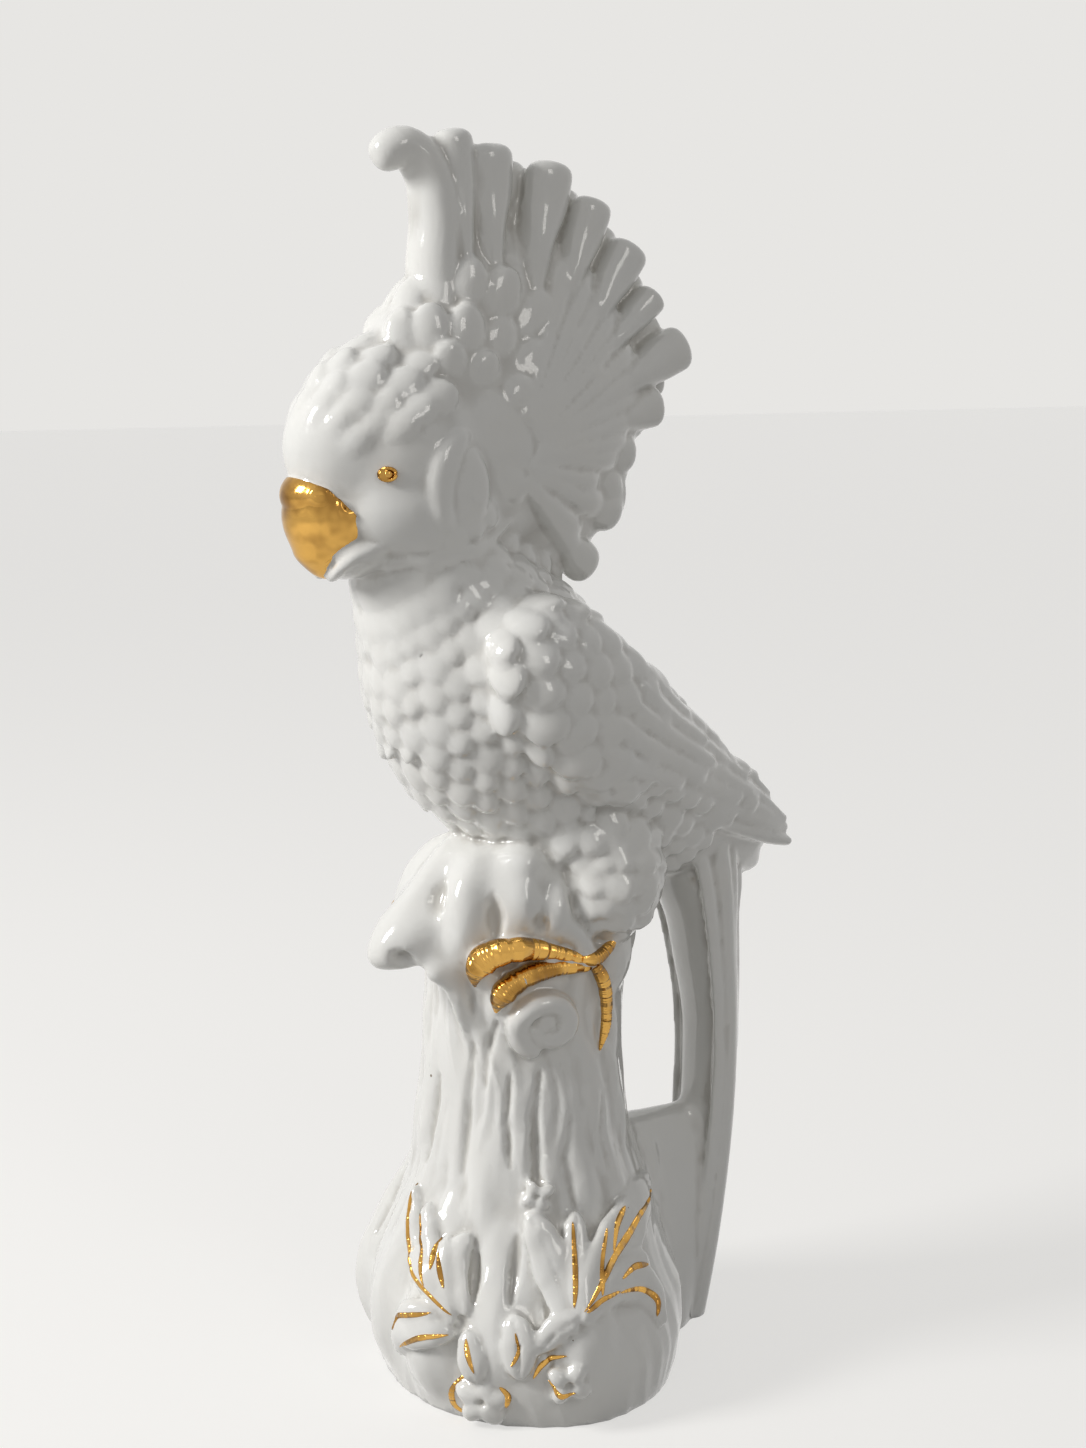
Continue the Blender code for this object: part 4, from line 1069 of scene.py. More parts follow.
def leaves(bm):
    """Fleshy leaves that lie on the mound, widest before their middle."""
    for half, places in LEAVES:
        path = [on_stump(angle, height, 1.5 * MM) for angle, height in places]
        middle = path[len(path) // 2]
        outward = Vector((middle.x, middle.y - TRUNK_SET_BACK, 0.012)).normalized()
        widths = [half * MM * w for w in (0.35, 1.05, 1.25, 0.95, 0.25)]
        depths = [LEAF_THICKNESS * d for d in (0.7, 1.0, 1.0, 0.9, 0.5)]
        lobe(bm, path, widths, depths, outward, 20, 14)


def flowers(bm):
    """Flowers and a bud: flat petals round a pressed heart."""
    for angle, height, reach, petals, first in FLOWERS:
        centre = on_stump(angle, height, 1.2 * MM)
        outward = away_at(angle)
        across = UP.cross(outward)
        for k in range(petals):
            turn = 2 * math.pi * (k + first) / petals
            lean = across * math.cos(turn) + UP * math.sin(turn)
            axes = Matrix.Rotation(PETAL_TILT, 3, outward.cross(lean)) @ facing(outward, lean)
            radii = mm(reach * 0.56, reach * 0.40, 1.9)
            egg(bm, centre + lean * reach * 0.6 * MM, radii, axes, 3)
        egg(bm, centre, mm(reach * 0.5, reach * 0.5, 1.6), facing(outward, UP), 3)


def crest_rows(bm):
    """Both rows of the crest, each on its side of the middle."""
    crest_row(bm, CREST_NEAR, CREST_OFFSET, 9, 5.0)
    crest_row(bm, CREST_FAR, -CREST_OFFSET, 9, 4.6)


def bird_details(bm):
    """Beak, crest and every feather of the bird."""
    for build in (
            beak_form, jaw, crest_curl, crest_rows, rump_feathers, chest_scales, head_scales, toes_under):
        build(bm)
    in_pairs(bm, cheek_details, crest_folds, crest_root_scales, quills, covert_scales, thigh_scales)


def stump_details(bm):
    """What is laid on stump and tail."""
    for build in (knot, leaves, flowers, tail_strands):
        build(bm)


# Furrows: half width and depth, then angles round the stump and heights
FURROWS = (
    (1.8, 2.2, ((-25, 96), (-28, 84), (-27, 70), (-26, 58))),
    (1.5, 1.6, ((-40, 96), (-41, 82), (-39, 70))), (1.8, 2.0, ((-35, 52), (-36, 36))),
    (1.8, 2.0, ((-50, 46), (-49, 33))), (2.0, 1.3, ((-9, 84), (-13, 72), (-10, 58))),
    (1.8, 1.1, ((13, 88), (8, 76), (12, 62))), (1.5, 1.2, ((-60, 104), (-62, 86), (-63, 66))),
    (1.6, 1.8, ((160, 92), (157, 62), (158, 40))), (1.6, 1.8, ((-118, 96), (-121, 68), (-118, 36))),
    (1.6, 1.6, ((-162, 90), (-160, 56))), (1.5, 1.4, ((-84, 92), (-87, 66))),
    (1.6, 2.0, ((-24, 46), (-23, 32), (-24, 20))), (1.4, 1.4, ((-46, 112), (-52, 104), (-53, 92))),
)
# Hollows in the broken top and under the stub: places from the perch, half width and depth
HOLLOWS = (
    ((mm(15, -41, 7), mm(13, -45, 2)), 5.0, 5.0), ((mm(10, -28, 26), mm(12, -32, 14)), 3.4, 2.6),
    ((mm(22, -19, 24), mm(24, -20, 12)), 3.0, 2.4), ((mm(29, -8, 20), mm(30, -9, 13)), 2.6, 1.8),
    ((mm(-17, -26, 22), mm(-19, -27, 8)), 3.2, 2.4), ((mm(-27, -14, 18), mm(-28, -14, 6)), 3.0, 2.2),
)


def nearest_on(point, start, end):
    """The nearest place to a point on a straight line from start to end."""
    along = end - start
    share = (point - start).dot(along) / max(along.length_squared, 1e-12)
    return start + along * min(1, max(0, share))


def press(verts, points, half_width, depth):
    """Presses a furrow into the skin, shallower and narrower towards both ends."""
    reach = half_width + depth * 0.5
    low = [min(p[i] for p in points) - reach for i in range(3)]
    high = [max(p[i] for p in points) + reach for i in range(3)]
    spans = len(points) - 1
    for vert in verts:
        co = vert.co
        if not (low[0] < co.x < high[0] and low[1] < co.y < high[1] and low[2] < co.z < high[2]):
            continue
        closest = min(range(spans), key=lambda i: (nearest_on(co, points[i], points[i + 1]) - co).length)
        start, end = points[closest], points[closest + 1]
        near = nearest_on(co, start, end)
        done = (near - start).length / max((end - start).length, 1e-9)
        strength = math.sin(math.pi * (0.1 + 0.8 * (closest + done) / spans)) ** 0.6
        away = (near - co).length / (reach * strength)
        if away < 1:
            vert.co -= vert.normal * depth * strength * (1 - away * away) ** 2


def furrows(bm):
    """Presses the furrows, a crease down each leaf, a pit in each flower and the hollows of the top."""
    verts = [v for v in bm.verts if v.co.z < PERCH_HEIGHT + 45 * MM]
    for half_width, depth, places in FURROWS:
        press(verts, [on_stump(angle, height) for angle, height in places], half_width * MM, depth * MM)
    for _, places in LEAVES:
        path = [on_stump(angle, height, LEAF_CREASE_OUT) for angle, height in places]
        press(verts, path, LEAF_CREASE_WIDTH, LEAF_CREASE_DEPTH)
    for angle, height, reach, _, _ in FLOWERS:
        ends = [on_stump(angle, height + step, 2 * MM) for step in (-1, 1)]
        press(verts, ends, reach * 0.24 * MM, 2 * MM)
    for places, half_width, depth in HOLLOWS:
        press(verts, [PERCH + place for place in places], half_width * MM, depth * MM)


# Depth at which the tail begins, which has no bark
TAIL_FROM = 44 * MM


def grain(bm):
    """Fine upright bark on trunk and mound, worked into the skin. It fades out at the top."""
    top = PERCH_HEIGHT + 20 * MM
    depth = sizes().bark_depth
    moves = []
    for vert in bm.verts:
        x, y, z = vert.co
        if z > top or y > TAIL_FROM:
            continue
        y -= TRUNK_SET_BACK
        turn = math.atan2(y, x) + 0.10 * math.sin(z / (17 * MM)) + 0.04 * math.sin(z / (6 * MM) + 2)
        round_at = Vector((math.cos(turn), math.sin(turn), 0))
        broad = noise.noise(round_at * 3.4 + UP * (z / (46 * MM)))
        fine = 1 - 2 * abs(noise.noise(round_at * 7.5 + UP * (z / (30 * MM))))
        finest = noise.noise(round_at * 16 + UP * (z / (14 * MM)))
        fade = min(1, (top - z) / (24 * MM)) * (1 - 0.7 * abs(vert.normal.z))
        moves.append((vert, vert.normal * (0.9 * broad + 0.55 * fine + 0.2 * finest) * depth * fade))
    for vert, move in moves:
        vert.co += move


def cut_off(bm, place, outward):
    """Takes away what lies beyond a plane, on the side that outward points to, and closes the cut."""
    everything = bm.verts[:] + bm.edges[:] + bm.faces[:]
    bmesh.ops.bisect_plane(
        bm, geom=everything, dist=1e-6, plane_co=place, plane_no=outward, clear_outer=True)
    bmesh.ops.holes_fill(bm, edges=[e for e in bm.edges if e.is_boundary])
    bmesh.ops.recalc_face_normals(bm, faces=bm.faces)


def thinned(bm, most):
    """The skin with fewer, larger triangles."""
    dense = object_from(bm, "dense")
    count = sum(len(p.vertices) - 2 for p in dense.data.polygons)
    thin = dense.modifiers.new("Thin", "DECIMATE")
    thin.ratio = min(1, most / count)
    return applied(dense)


def porcelain_skin():
    """The whole cast body as one closed skin."""
    parts = merged(skins()["bird"], skins()["stump"], built(bird_details), built(stump_details))
    bm = fused(parts, sizes().skin_cell, 1)
    bm.normal_update()
    grain(bm)
    furrows(bm)
    bmesh.ops.smooth_vert(
        bm, verts=bm.verts, factor=0.35, use_axis_x=True, use_axis_y=True, use_axis_z=True)
    bm = thinned(bm, sizes().skin_triangles)
    cut_off(bm, (0, 0, 0), -UP)
    return bm


# Fineness of the gilded beak, its height over the white one, and the gold's edge seen from the side
BEAK_CELL = 0.6 * MM
BEAK_RISE = 0.18 * MM
GOLD_EDGE = (mm(0, -72.8, 266.4), mm(0, -62.5, 261.3), mm(0, -49.5, 246.5))


def beak_skin():
    """The gold on the upper beak, cut off at the back where the brush stopped."""
    bm = fused(built(beak_form, nostrils), BEAK_CELL, 2)
    bm.normal_update()
    for vert in bm.verts:
        vert.co += vert.normal * BEAK_RISE
    for start, end in zip(GOLD_EDGE, GOLD_EDGE[1:]):
        cut_off(bm, start, SIDE.cross(end - start).normalized())
    return bm


def nostrils(bm):
    """Ring-shaped rims of the nostrils, two on each side of the beak."""
    skin = built(beak_form)
    tree = BVHTree.FromBMesh(skin)
    skin.free()
    for side in (1, -1):
        for y, z, reach in ((-64.5, 259.5, 1.7), (-58, 257, 2.2)):
            path = []
            for depth, height in circle(y, z, reach, reach):
                hit, normal, _, _ = tree.ray_cast(mm(side * 60, depth, height), -SIDE * side)
                path.append(hit + normal * 0.2 * MM)
            small_ring(bm, path, 0.7 * MM, SIDE * side)


# Where the left eye looks out: depth and height in millimetres
EYE = (-49.6, 265.4)


def eye_forms(bm):
    """The small almond eye on the left, with a rim."""
    place = on_bird(*EYE, 0.1 * MM)
    axes = Matrix.Rotation(math.radians(14), 3, SIDE) @ facing(SIDE, Vector((0, -1, 0.1)))
    egg(bm, place, mm(2.5, 2.0, 1.0), axes)
    egg(bm, place + SIDE * 0.7 * MM, mm(1.2, 1.1, 0.8), axes, 3)
    small_ring(bm, [on_bird(y, z, 0.7 * MM) for y, z in circle(*EYE, 2.0, 1.6)], 0.5 * MM, SIDE)


# Height of a brushed line's middle over the glaze, its fall to the edges and its depth in it, in mm
LINE_RISE = 0.34
LINE_ROUNDING = 0.06
LINE_SINK = 0.45
# Brushed lines: half width, then angles round the stump and heights in millimetres
STROKES = (
    (0.8, ((-53, 32.4), (-66, 39.6), (-78, 44.6), (-86, 59.9))),
    (0.6, ((-63, 39), (-70, 48), (-75, 54.5))), (0.6, ((-62.4, 43.1), (-63.6, 49.8))),
    (0.6, ((-56.6, 39.2), (-61.7, 47.5))), (0.7, ((-59, 32.8), (-70, 29.6), (-73, 24.2))),
    (0.6, ((-53, 27.6), (-61, 26.1), (-70, 20))),
    (0.9, ((-12.7, 35.2), (-2.6, 42.7), (9, 48.6), (21.1, 52.8), (40, 55))),
    (0.8, ((2.5, 47), (7, 52.8), (14, 56.5))), (0.7, ((-15.4, 36), (-12.9, 47.2), (-11.4, 55.9))),
    (0.7, ((-6, 38), (-3, 46), (2, 53))), (0.8, ((3, 40.2), (9.9, 41.5), (17, 40.3))),
    (0.8, ((1.1, 36.9), (10.8, 35.2), (16.2, 31.2), (15.6, 26.4))),
    (0.7, ((-12, 35), (-6, 37), (1, 37.4))), (0.8, ((-48, 16), (-53.4, 9.9), (-54.1, 4), (-50, 1.6))),
    (0.8, ((-37.7, 13.3), (-35.1, 10.6), (-35.9, 6.6))),
    (0.6, ((-47.5, 27.2), (-46.4, 22.9), (-44.6, 18.2))),
    (0.6, ((-23.2, 16.1), (-20.4, 12.6), (-16.2, 13.2))),
    (0.6, ((-27.7, 16), (-24.4, 20.5), (-17.9, 22.7))), (0.5, ((-33, 30), (-32, 25), (-34, 21))),
)


def stroke(bm, tree, half, places):
    """One brushed line: a thin closed ribbon on the glaze, pointed at both ends."""
    marks = [Vector((angle, height, 0)) for angle, height in places]
    steps = 10 * len(marks)
    spots = []
    for i in range(steps + 1):
        mark = along_path(marks, i / steps)
        away = away_at(mark.x)
        origin = Vector((0, TRUNK_SET_BACK, max(0.6, mark.y) * MM))
        spots.append(tree.ray_cast(origin + away * FAR_OUT, -away)[:2])
    places = eased([spot[0] for spot in spots], 4)
    normals = eased([spot[1] for spot in spots], 8)
    rings = []
    for i, (place, normal) in enumerate(zip(places, normals)):
        ahead = places[min(i + 1, steps)] - places[max(i - 1, 0)]
        across = normal.cross(ahead).normalized()
        share = i / steps
        pointed = max(0.06, math.sin(math.pi * share) ** 0.55)
        width = half * 1.2 * MM * pointed * (1 + 0.15 * math.sin(5 * share + half * 20))
        over, under = [], []
        for j in range(-2, 3):
            beside = place + across * width * j / 2
            near = tree.find_nearest(beside)[0]
            spot = beside + normal * (near - place).dot(normal) * 0.5
            over.append(spot + normal * (LINE_RISE - LINE_ROUNDING * j * j) * MM)
            under.append(spot - normal * LINE_SINK * MM)
        rings.append(over + under[::-1])
    skin_over(bm, rings)


# Materials


def feed(links, socket, value):
    """Feeds a socket from another socket or with a plain value."""
    if isinstance(value, bpy.types.NodeSocket):
        links.new(value, socket)
    else:
        socket.default_value = value


def worked(nodes, links, operation, *values):
    """The result of a maths node on sockets or plain values."""
    node = nodes.new("ShaderNodeMath")
    node.operation = operation
    for socket, value in zip(node.inputs, values):
        feed(links, socket, value)
    return node.outputs[0]


# How red a cell's random colour has to be for a speck to stand in it
SPECK_RARITY = 0.86


def uneven_coat():
    """Node group: slow waves, fine ripple and stray specks, as in a flowing glaze or a brushed film."""
    group = bpy.data.node_groups.get("Uneven coat")
    if group:
        return group
    group = bpy.data.node_groups.new("Uneven coat", "ShaderNodeTree")
    group.interface.new_socket("Vector", in_out="INPUT", socket_type="NodeSocketVector")
    for label, value in (
            ("Wave scale", 60), ("Ripple scale", 400), ("Speck scale", 90), ("Speck size", 0.05)):
        socket = group.interface.new_socket(label, in_out="INPUT", socket_type="NodeSocketFloat")
        socket.default_value = value
    for label in ("Waves", "Ripple", "Specks"):
        group.interface.new_socket(label, in_out="OUTPUT", socket_type="NodeSocketFloat")
    nodes, links = group.nodes, group.links
    given, result = nodes.new("NodeGroupInput"), nodes.new("NodeGroupOutput")
    waves, ripple = nodes.new("ShaderNodeTexNoise"), nodes.new("ShaderNodeTexNoise")
    cells = nodes.new("ShaderNodeTexVoronoi")
    waves.inputs["Detail"].default_value = 2
    ripple.inputs["Detail"].default_value = 3
    for node, scale in ((waves, "Wave scale"), (ripple, "Ripple scale"), (cells, "Speck scale")):
        links.new(given.outputs["Vector"], node.inputs["Vector"])
        links.new(given.outputs[scale], node.inputs["Scale"])
    parted = nodes.new("ShaderNodeSeparateColor")
    links.new(cells.outputs["Color"], parted.inputs["Color"])
    near = worked(nodes, links, "LESS_THAN", cells.outputs["Distance"], given.outputs["Speck size"])
    rare = worked(nodes, links, "GREATER_THAN", parted.outputs["Red"], SPECK_RARITY)
    links.new(waves.outputs["Fac"], result.inputs["Waves"])
    links.new(ripple.outputs["Fac"], result.inputs["Ripple"])
    links.new(worked(nodes, links, "MULTIPLY", near, rare), result.inputs["Specks"])
    return group


def coat_material(name, scales):
    """A new material with the uneven coat in it. Returns it with its nodes, links, coat and shader."""
    material = bpy.data.materials.new(name)
    material.use_nodes = True
    nodes, links = material.node_tree.nodes, material.node_tree.links
    coat = nodes.new("ShaderNodeGroup")
    coat.node_tree = uneven_coat()
    for label, value in scales.items():
        coat.inputs[label].default_value = value
    place = nodes.new("ShaderNodeTexCoord")
    links.new(place.outputs["Object"], coat.inputs["Vector"])
    return material, nodes, links, coat, nodes["Principled BSDF"]


def ranged(nodes, links, value, low, high, from_low=0.3, from_high=0.7):
    """A value spread over a new range, kept within it. Noise mostly lies between 0.3 and 0.7."""
    node = nodes.new("ShaderNodeMapRange")
    node.inputs["From Min"].default_value = from_low
    node.inputs["From Max"].default_value = from_high
    node.inputs["To Min"].default_value = low
    node.inputs["To Max"].default_value = high
    links.new(value, node.inputs["Value"])
    return node.outputs["Result"]


def blended(nodes, links, factor, first, second):
    """A colour between two, by a factor. Either colour may be a socket or a value."""
    node = nodes.new("ShaderNodeMix")
    node.data_type = "RGBA"
    links.new(factor, node.inputs["Factor"])
    for socket, colour in ((node.inputs[6], first), (node.inputs[7], second)):
        feed(links, socket, colour if isinstance(colour, bpy.types.NodeSocket) else (*colour, 1))
    return node.outputs[2]


def bumped(nodes, links, height, shader, strength, distance):
    """Ripples the shader's surface by a height."""
    node = nodes.new("ShaderNodeBump")
    node.inputs["Strength"].default_value = strength
    node.inputs["Distance"].default_value = distance
    links.new(height, node.inputs["Height"])
    links.new(node.outputs["Normal"], shader.inputs["Normal"])


def glaze_material():
    """White glaze over porcelain: thick in the hollows, where shade is also painted darker, slightly wavy,
    with a few dark specks.
    """
    scales = {"Wave scale": 55, "Ripple scale": 330, "Speck scale": 75, "Speck size": 0.035}
    material, nodes, links, coat, shader = coat_material("Porcelain glaze", scales)
    pool_and_shade = nodes.new("ShaderNodeAttribute")
    pool_and_shade.attribute_name = "pooling_and_shade"
    # Painted shade: the glaze turns to the darker pooled colour in the hollows, partly thick pooled glaze,
    # partly painted shade
    depth = ranged(nodes, links, pool_and_shade.outputs["Fac"], 0, 1, from_low=0.025, from_high=0.36)
    body = blended(nodes, links, depth, colours().glaze, colours().pooled_and_shade)
    warm = ranged(nodes, links, coat.outputs["Waves"], 0, 0.35)
    tinted = blended(nodes, links, warm, body, colours().warm)
    speck = blended(nodes, links, coat.outputs["Specks"], tinted, colours().speck)
    links.new(speck, shader.inputs["Base Color"])
    links.new(ranged(nodes, links, coat.outputs["Ripple"], 0.07, 0.15), shader.inputs["Roughness"])
    wavy = worked(nodes, links, "MULTIPLY_ADD", coat.outputs["Waves"], 6, coat.outputs["Ripple"])
    bumped(nodes, links, wavy, shader, 0.35, 0.12 * MM)
    shader.inputs["IOR"].default_value = 1.52
    shader.inputs["Coat Weight"].default_value = 0.6
    shader.inputs["Coat Roughness"].default_value = 0.03
    return material


def gilding_material():
    """Fired gold lustre, brushed on: bright, a little uneven, thinner and browner in patches, which also
    serve as painted dark reflections.
    """
    scales = {"Wave scale": 110, "Ripple scale": 900, "Speck scale": 420, "Speck size": 0.12}
    material, nodes, links, coat, shader = coat_material("Gilding", scales)
    # Dark brown patches: partly thin lustre, partly painted dark reflection in the gold
    thin = ranged(nodes, links, coat.outputs["Waves"], 0, 0.85, from_low=0.43, from_high=0.66)
    film = blended(nodes, links, thin, colours().gold, colours().thin_gold_and_dark_reflection)
    links.new(film, shader.inputs["Base Color"])
    shader.inputs["Metallic"].default_value = 1
    links.new(ranged(nodes, links, coat.outputs["Ripple"], 0.08, 0.22), shader.inputs["Roughness"])
    bumped(nodes, links, coat.outputs["Ripple"], shader, 0.06, 0.1 * MM)
    return material


# How far below its neighbours a point lies where the glaze is at its thickest and the painted shade at its
# darkest
DEEP_HOLLOW = 0.25 * MM


def pool_glaze_and_shade(mesh):
    """Marks how far each point lies in a hollow, where the glaze runs thick and shade is painted darker."""
    count = len(mesh.vertices)
    places = np.empty(count * 3)
    normals = np.empty(count * 3)
    mesh.vertices.foreach_get("co", places)
    mesh.vertices.foreach_get("normal", normals)
    ends = np.empty(len(mesh.edges) * 2, dtype=np.int64)
    mesh.edges.foreach_get("vertices", ends)
    places, normals, ends = places.reshape(-1, 3), normals.reshape(-1, 3), ends.reshape(-1, 2)
    share = np.bincount(ends.ravel(), minlength=count).clip(1)

    def around(values):
        total = np.zeros_like(values)
        np.add.at(total, ends[:, 0], values[ends[:, 1]])
        np.add.at(total, ends[:, 1], values[ends[:, 0]])
        return total / (share[:, None] if values.ndim == 2 else share)

    hollow = ((around(places) - places) * normals).sum(axis=1) / DEEP_HOLLOW
    for _ in range(3):
        hollow = 0.4 * hollow + 0.6 * around(hollow)
    mark = mesh.attributes.new("pooling_and_shade", "FLOAT", "POINT")
    mark.data.foreach_set("value", hollow.clip(0, 1).astype(np.float32))


def finished(bm, name, material):
    """Makes a piece of a finished mesh: smooth, coated, riding on the one body."""
    bmesh.ops.remove_doubles(bm, verts=bm.verts, dist=1e-6)
    for face in bm.faces:
        face.smooth = True
    piece = object_from(bm, name)
    piece.data.materials.append(material)
    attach(piece, "root")
    return piece


def gilded(bm, name):
    """Makes a gilded piece. All of them share one material."""
    return finished(bm, name, bpy.data.materials.get("Gilding") or gilding_material())


# Add-on


class CockatooSizes(bpy.types.PropertyGroup):
    """Sizes of the figurine's surface detail."""

    feather_pitch: FloatProperty(
        name="Feather spacing", description="Distance between the rows of small feathers",
        default=8 * MM, min=5 * MM, max=14 * MM, unit="LENGTH")
    feather_rise: FloatProperty(
        name="Feather height", description="How far a small feather stands out of the skin",
        default=2.0 * MM, min=0.3 * MM, max=3 * MM, unit="LENGTH")
    toe_radius: FloatProperty(
        name="Toe radius", description="Radius of the front toes before the swell of the rings",
        default=3.4 * MM, min=2 * MM, max=6 * MM, unit="LENGTH")
    bark_depth: FloatProperty(
        name="Bark depth", description="How deep the fine bark is worked",
        default=1.0 * MM, min=0, max=3 * MM, unit="LENGTH")
    skin_cell: FloatProperty(
        name="Skin fineness", description="Cell size at which the forms are fused",
        default=0.85 * MM, min=0.7 * MM, max=3 * MM, unit="LENGTH")
    skin_triangles: IntProperty(
        name="Most triangles", description="How many triangles the porcelain body may have",
        default=196000, min=20000, max=199000)


def colour_property(name, description, default):
    return FloatVectorProperty(
        name=name, description=description, default=default, size=3, min=0, max=1, subtype="COLOR")


class CockatooColours(bpy.types.PropertyGroup):
    """Colours of glaze, gilding and stage."""

    glaze: colour_property("Glaze", "White glaze", (0.86, 0.86, 0.84))
    # Grey of the glaze in the hollows: partly thick pooled glaze, partly painted shade
    pooled_and_shade: colour_property("Pooled glaze", "Glaze where it lies thick in the hollows", (0.56, 0.545, 0.51))
    warm: colour_property("Warm glaze", "Glaze where it is slightly warmer", (0.86, 0.845, 0.80))
    speck: colour_property("Speck", "Dark specks in the glaze", (0.22, 0.17, 0.12))
    gold: colour_property("Gold", "Gold lustre", (0.70, 0.40, 0.10))
    # Dark brown of the gold in patches: partly thin lustre, partly painted dark reflection
    thin_gold_and_dark_reflection: colour_property("Thin gold", "Gold lustre where it is thin", (0.26, 0.125, 0.028))
    floor: colour_property("Floor", "Plain floor", (0.33, 0.326, 0.318))
    backdrop: colour_property("Backdrop", "Plain background", (0.80, 0.79, 0.77))


class COCKATOO_OT_porcelain(bpy.types.Operator):
    """Cast the white body with its feathers, bark, leaves and flowers"""

    bl_idname = "cockatoo.porcelain"
    bl_label = "Porcelain Body"

    def execute(self, context):
        piece = finished(porcelain_skin(), "porcelain_body", glaze_material())
        pool_glaze_and_shade(piece.data)
        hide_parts("figurine")
        return {"FINISHED"}


class COCKATOO_OT_beak(bpy.types.Operator):
    """Gild the upper beak"""

    bl_idname = "cockatoo.beak"
    bl_label = "Gilded Beak"

    def execute(self, context):
        gilded(beak_skin(), "gilded_beak")
        return {"FINISHED"}


class COCKATOO_OT_eyes(bpy.types.Operator):
    """Gild the eyes"""

    bl_idname = "cockatoo.eyes"
    bl_label = "Gilded Eyes"

    def execute(self, context):
        bm = bmesh.new()
        in_pairs(bm, eye_forms)
        gilded(bm, "gilded_eyes")
        return {"FINISHED"}


class COCKATOO_OT_toes(bpy.types.Operator):
    """Gild the toes of both feet"""

    bl_idname = "cockatoo.toes"
    bl_label = "Gilded Toes"

    def execute(self, context):
        bm = bmesh.new()
        toe_set(bm, 0)
        gilded(bm, "gilded_toes")
        return {"FINISHED"}


class COCKATOO_OT_strokes(bpy.types.Operator):
    """Brush gold lines on the leaves and flowers of the finished body"""

    bl_idname = "cockatoo.strokes"
    bl_label = "Gilded Lines"

    def execute(self, context):
        body = bpy.data.objects.get("porcelain_body")
        if body is None:
            raise RuntimeError("Cast the porcelain body first: the lines are brushed on it")
        skin = bmesh.new()
        skin.from_mesh(body.data)
        tree = BVHTree.FromBMesh(skin)
        skin.free()
        bm = bmesh.new()
        for half, places in STROKES:
            stroke(bm, tree, half, places)
        gilded(bm, "gilded_lines")
        return {"FINISHED"}


# The stage. Powers are in watts, places in metres
CAMERA_PLACE = Vector((0.5340, -0.2991, 0.3025))
CAMERA_HEADING = math.radians(60)
CAMERA_DIP = math.radians(10.3)
SENSOR_HEIGHT = 36
PICTURE_HEIGHT = 1448
FOCUS_IN_PIXELS = 2170
FLOOR_HALF_WIDTH = 6
FLOOR_LIFT = 0.60
WORLD_STRENGTH = 0.23
LAMPS = (
    ("Window lamp", Vector((-0.22, -1.02, 0.78)), (0.30, 0.40), 11.5, (1.0, 0.99, 0.97)),
    ("Fill lamp", Vector((1.2, 0.15, 0.95)), (0.35, 0.50), 1.6, (1.0, 0.97, 0.92)),
)
LAMPS_AIM = Vector((0, 0, 0.19))


def turn_to(obj, aim):
    """Points an object's -Z along a direction, with its Y upwards."""
    obj.rotation_mode = "QUATERNION"
    obj.rotation_quaternion = aim.to_track_quat("-Z", "Y")


def add_lamp(name, place, size, power, tint):
    data = bpy.data.lights.new(name, "AREA")
    data.shape = "RECTANGLE"
    data.size, data.size_y = size
    data.energy = power
    data.color = tint
    lamp = bpy.data.objects.new(name, data)
    lamp.location = place
    turn_to(lamp, LAMPS_AIM - place)
    bpy.context.scene.collection.objects.link(lamp)


def seen_rays(nodes, links):
    """One for rays of the camera, of reflections and of see-through parts, else nought."""
    path = nodes.new("ShaderNodeLightPath")
    seen = worked(nodes, links, "MAXIMUM", path.outputs["Is Camera Ray"], path.outputs["Is Glossy Ray"])
    return worked(nodes, links, "MAXIMUM", seen, path.outputs["Is Transmission Ray"])


def add_floor():
    """A plain floor that looks brighter to the camera and in the gold than the light on it makes it."""
    bm = bmesh.new()
    bmesh.ops.create_grid(bm, x_segments=1, y_segments=1, size=FLOOR_HALF_WIDTH)
    floor = object_from(bm, "floor")
    material = bpy.data.materials.new("Plain floor")
    material.use_nodes = True
    nodes, links = material.node_tree.nodes, material.node_tree.links
    shader = nodes["Principled BSDF"]
    shader.inputs["Base Color"].default_value = (*colours().floor, 1)
    shader.inputs["Roughness"].default_value = 0.75
    lift, added = nodes.new("ShaderNodeEmission"), nodes.new("ShaderNodeAddShader")
    lift.inputs["Color"].default_value = (1, 0.99, 0.97, 1)
    seen = ranged(nodes, links, seen_rays(nodes, links), 0, FLOOR_LIFT, from_low=0, from_high=1)
    links.new(seen, lift.inputs["Strength"])
    links.new(shader.outputs[0], added.inputs[0])
    links.new(lift.outputs[0], added.inputs[1])
    links.new(added.outputs[0], nodes["Material Output"].inputs["Surface"])
    floor.data.materials.append(material)


def set_world():
    """Soft light from all round. What the camera and the gold see is the plain backdrop colour."""
    world = bpy.data.worlds.new("Studio")
    bpy.context.scene.world = world
    world.use_nodes = True
    nodes, links = world.node_tree.nodes, world.node_tree.links
    light = nodes["Background"]
    light.inputs["Color"].default_value = (1, 1, 1, 1)
    light.inputs["Strength"].default_value = WORLD_STRENGTH
    seen = nodes.new("ShaderNodeBackground")
    seen.inputs["Color"].default_value = (*colours().backdrop, 1)
    seen.inputs["Strength"].default_value = 1
    mix = nodes.new("ShaderNodeMixShader")
    links.new(seen_rays(nodes, links), mix.inputs[0])
    links.new(light.outputs[0], mix.inputs[1])
    links.new(seen.outputs[0], mix.inputs[2])
    links.new(mix.outputs[0], nodes["World Output"].inputs["Surface"])


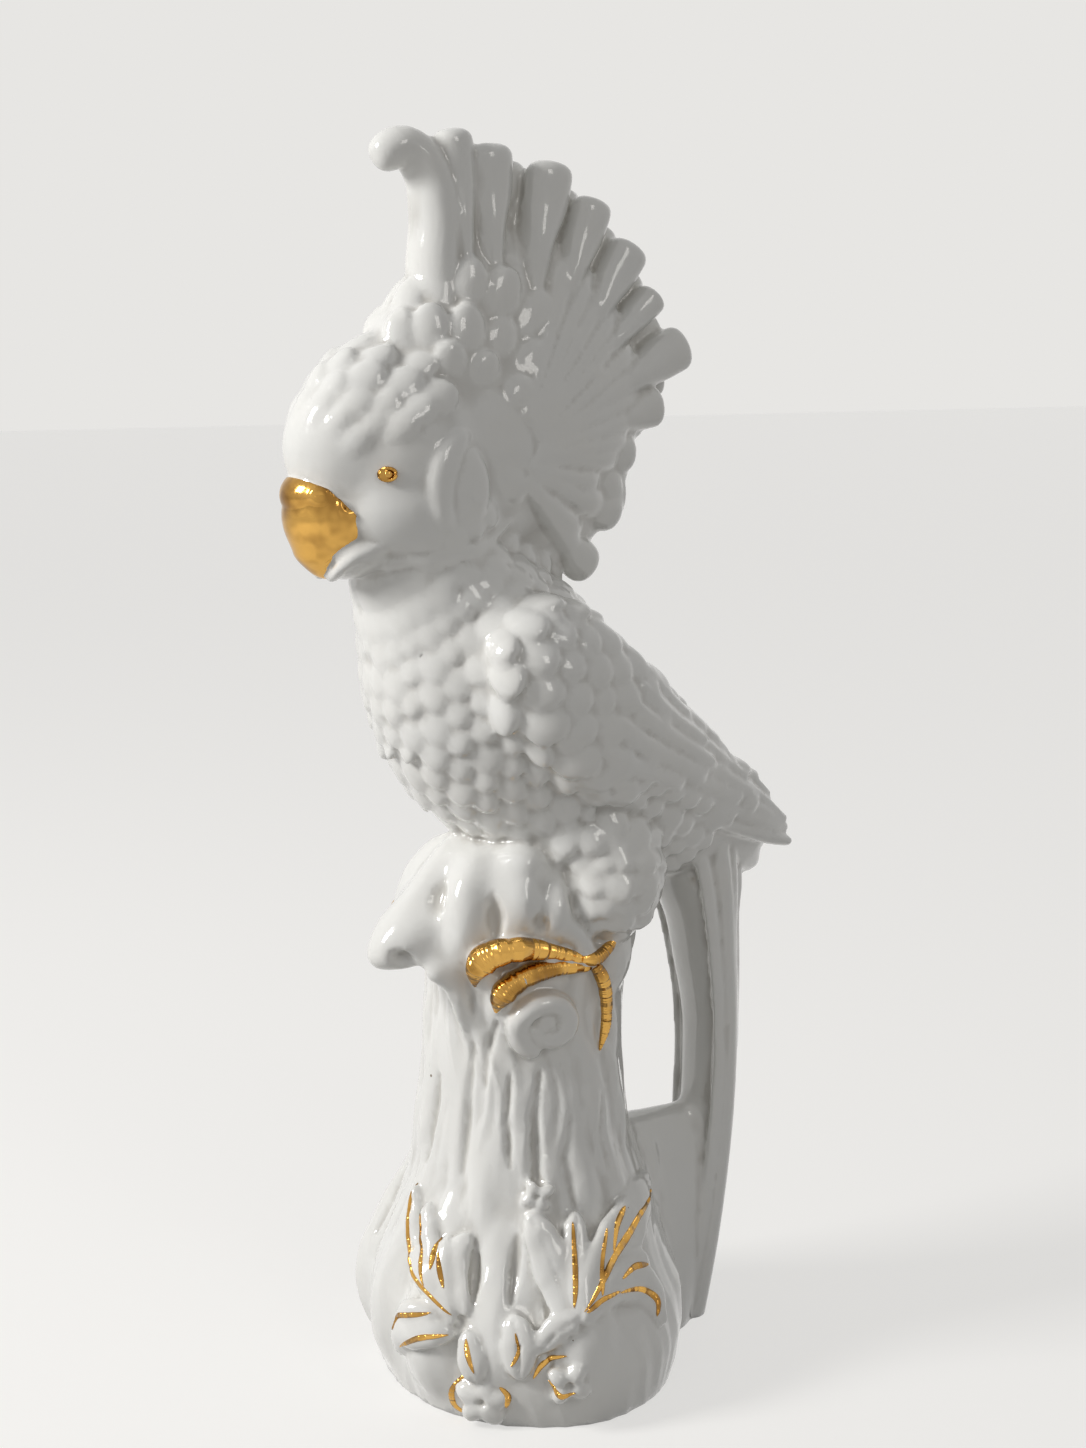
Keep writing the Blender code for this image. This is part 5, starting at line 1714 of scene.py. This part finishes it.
def add_camera():
    data = bpy.data.cameras.new("Camera")
    data.sensor_fit = "VERTICAL"
    data.sensor_height = SENSOR_HEIGHT
    data.lens = FOCUS_IN_PIXELS / PICTURE_HEIGHT * SENSOR_HEIGHT
    data.clip_start = 0.01
    camera = bpy.data.objects.new("Camera", data)
    camera.location = CAMERA_PLACE
    level = Vector((-math.sin(CAMERA_HEADING), math.cos(CAMERA_HEADING), 0))
    turn_to(camera, level * math.cos(CAMERA_DIP) - UP * math.sin(CAMERA_DIP))
    bpy.context.scene.collection.objects.link(camera)
    bpy.context.scene.camera = camera


class COCKATOO_OT_stage(bpy.types.Operator):
    """Set the plain floor, the soft lamps and the camera"""

    bl_idname = "cockatoo.stage"
    bl_label = "Stage"

    def execute(self, context):
        context.scene.view_settings.view_transform = "Standard"
        add_floor()
        set_world()
        for lamp in LAMPS:
            add_lamp(*lamp)
        add_camera()
        return {"FINISHED"}


class COCKATOO_PT_panel(bpy.types.Panel):
    """Lists the pieces and their settings"""

    bl_idname = "COCKATOO_PT_panel"
    bl_label = "Porcelain Cockatoo"
    bl_space_type = "VIEW_3D"
    bl_region_type = "UI"
    bl_category = "Cockatoo"

    def draw(self, context):
        for piece in PIECES:
            self.layout.operator(piece.bl_idname)
        for group in (sizes(), colours()):
            for name in group.__annotations__:
                self.layout.prop(group, name)


PIECES = (
    COCKATOO_OT_porcelain, COCKATOO_OT_beak, COCKATOO_OT_eyes, COCKATOO_OT_toes, COCKATOO_OT_strokes,
    COCKATOO_OT_stage,
)
CLASSES = (CockatooSizes, CockatooColours, *PIECES, COCKATOO_PT_panel)


def register():
    for made in CLASSES:
        bpy.utils.register_class(made)
    bpy.types.Scene.cockatoo_sizes = PointerProperty(type=CockatooSizes)
    bpy.types.Scene.cockatoo_colours = PointerProperty(type=CockatooColours)


def unregister():
    del bpy.types.Scene.cockatoo_sizes
    del bpy.types.Scene.cockatoo_colours
    for made in reversed(CLASSES):
        bpy.utils.unregister_class(made)


def main():
    register()
    bpy.ops.cockatoo.porcelain()
    bpy.ops.cockatoo.beak()
    bpy.ops.cockatoo.eyes()
    bpy.ops.cockatoo.toes()
    bpy.ops.cockatoo.strokes()
    bpy.ops.cockatoo.stage()


if __name__ == "__main__":
    main()
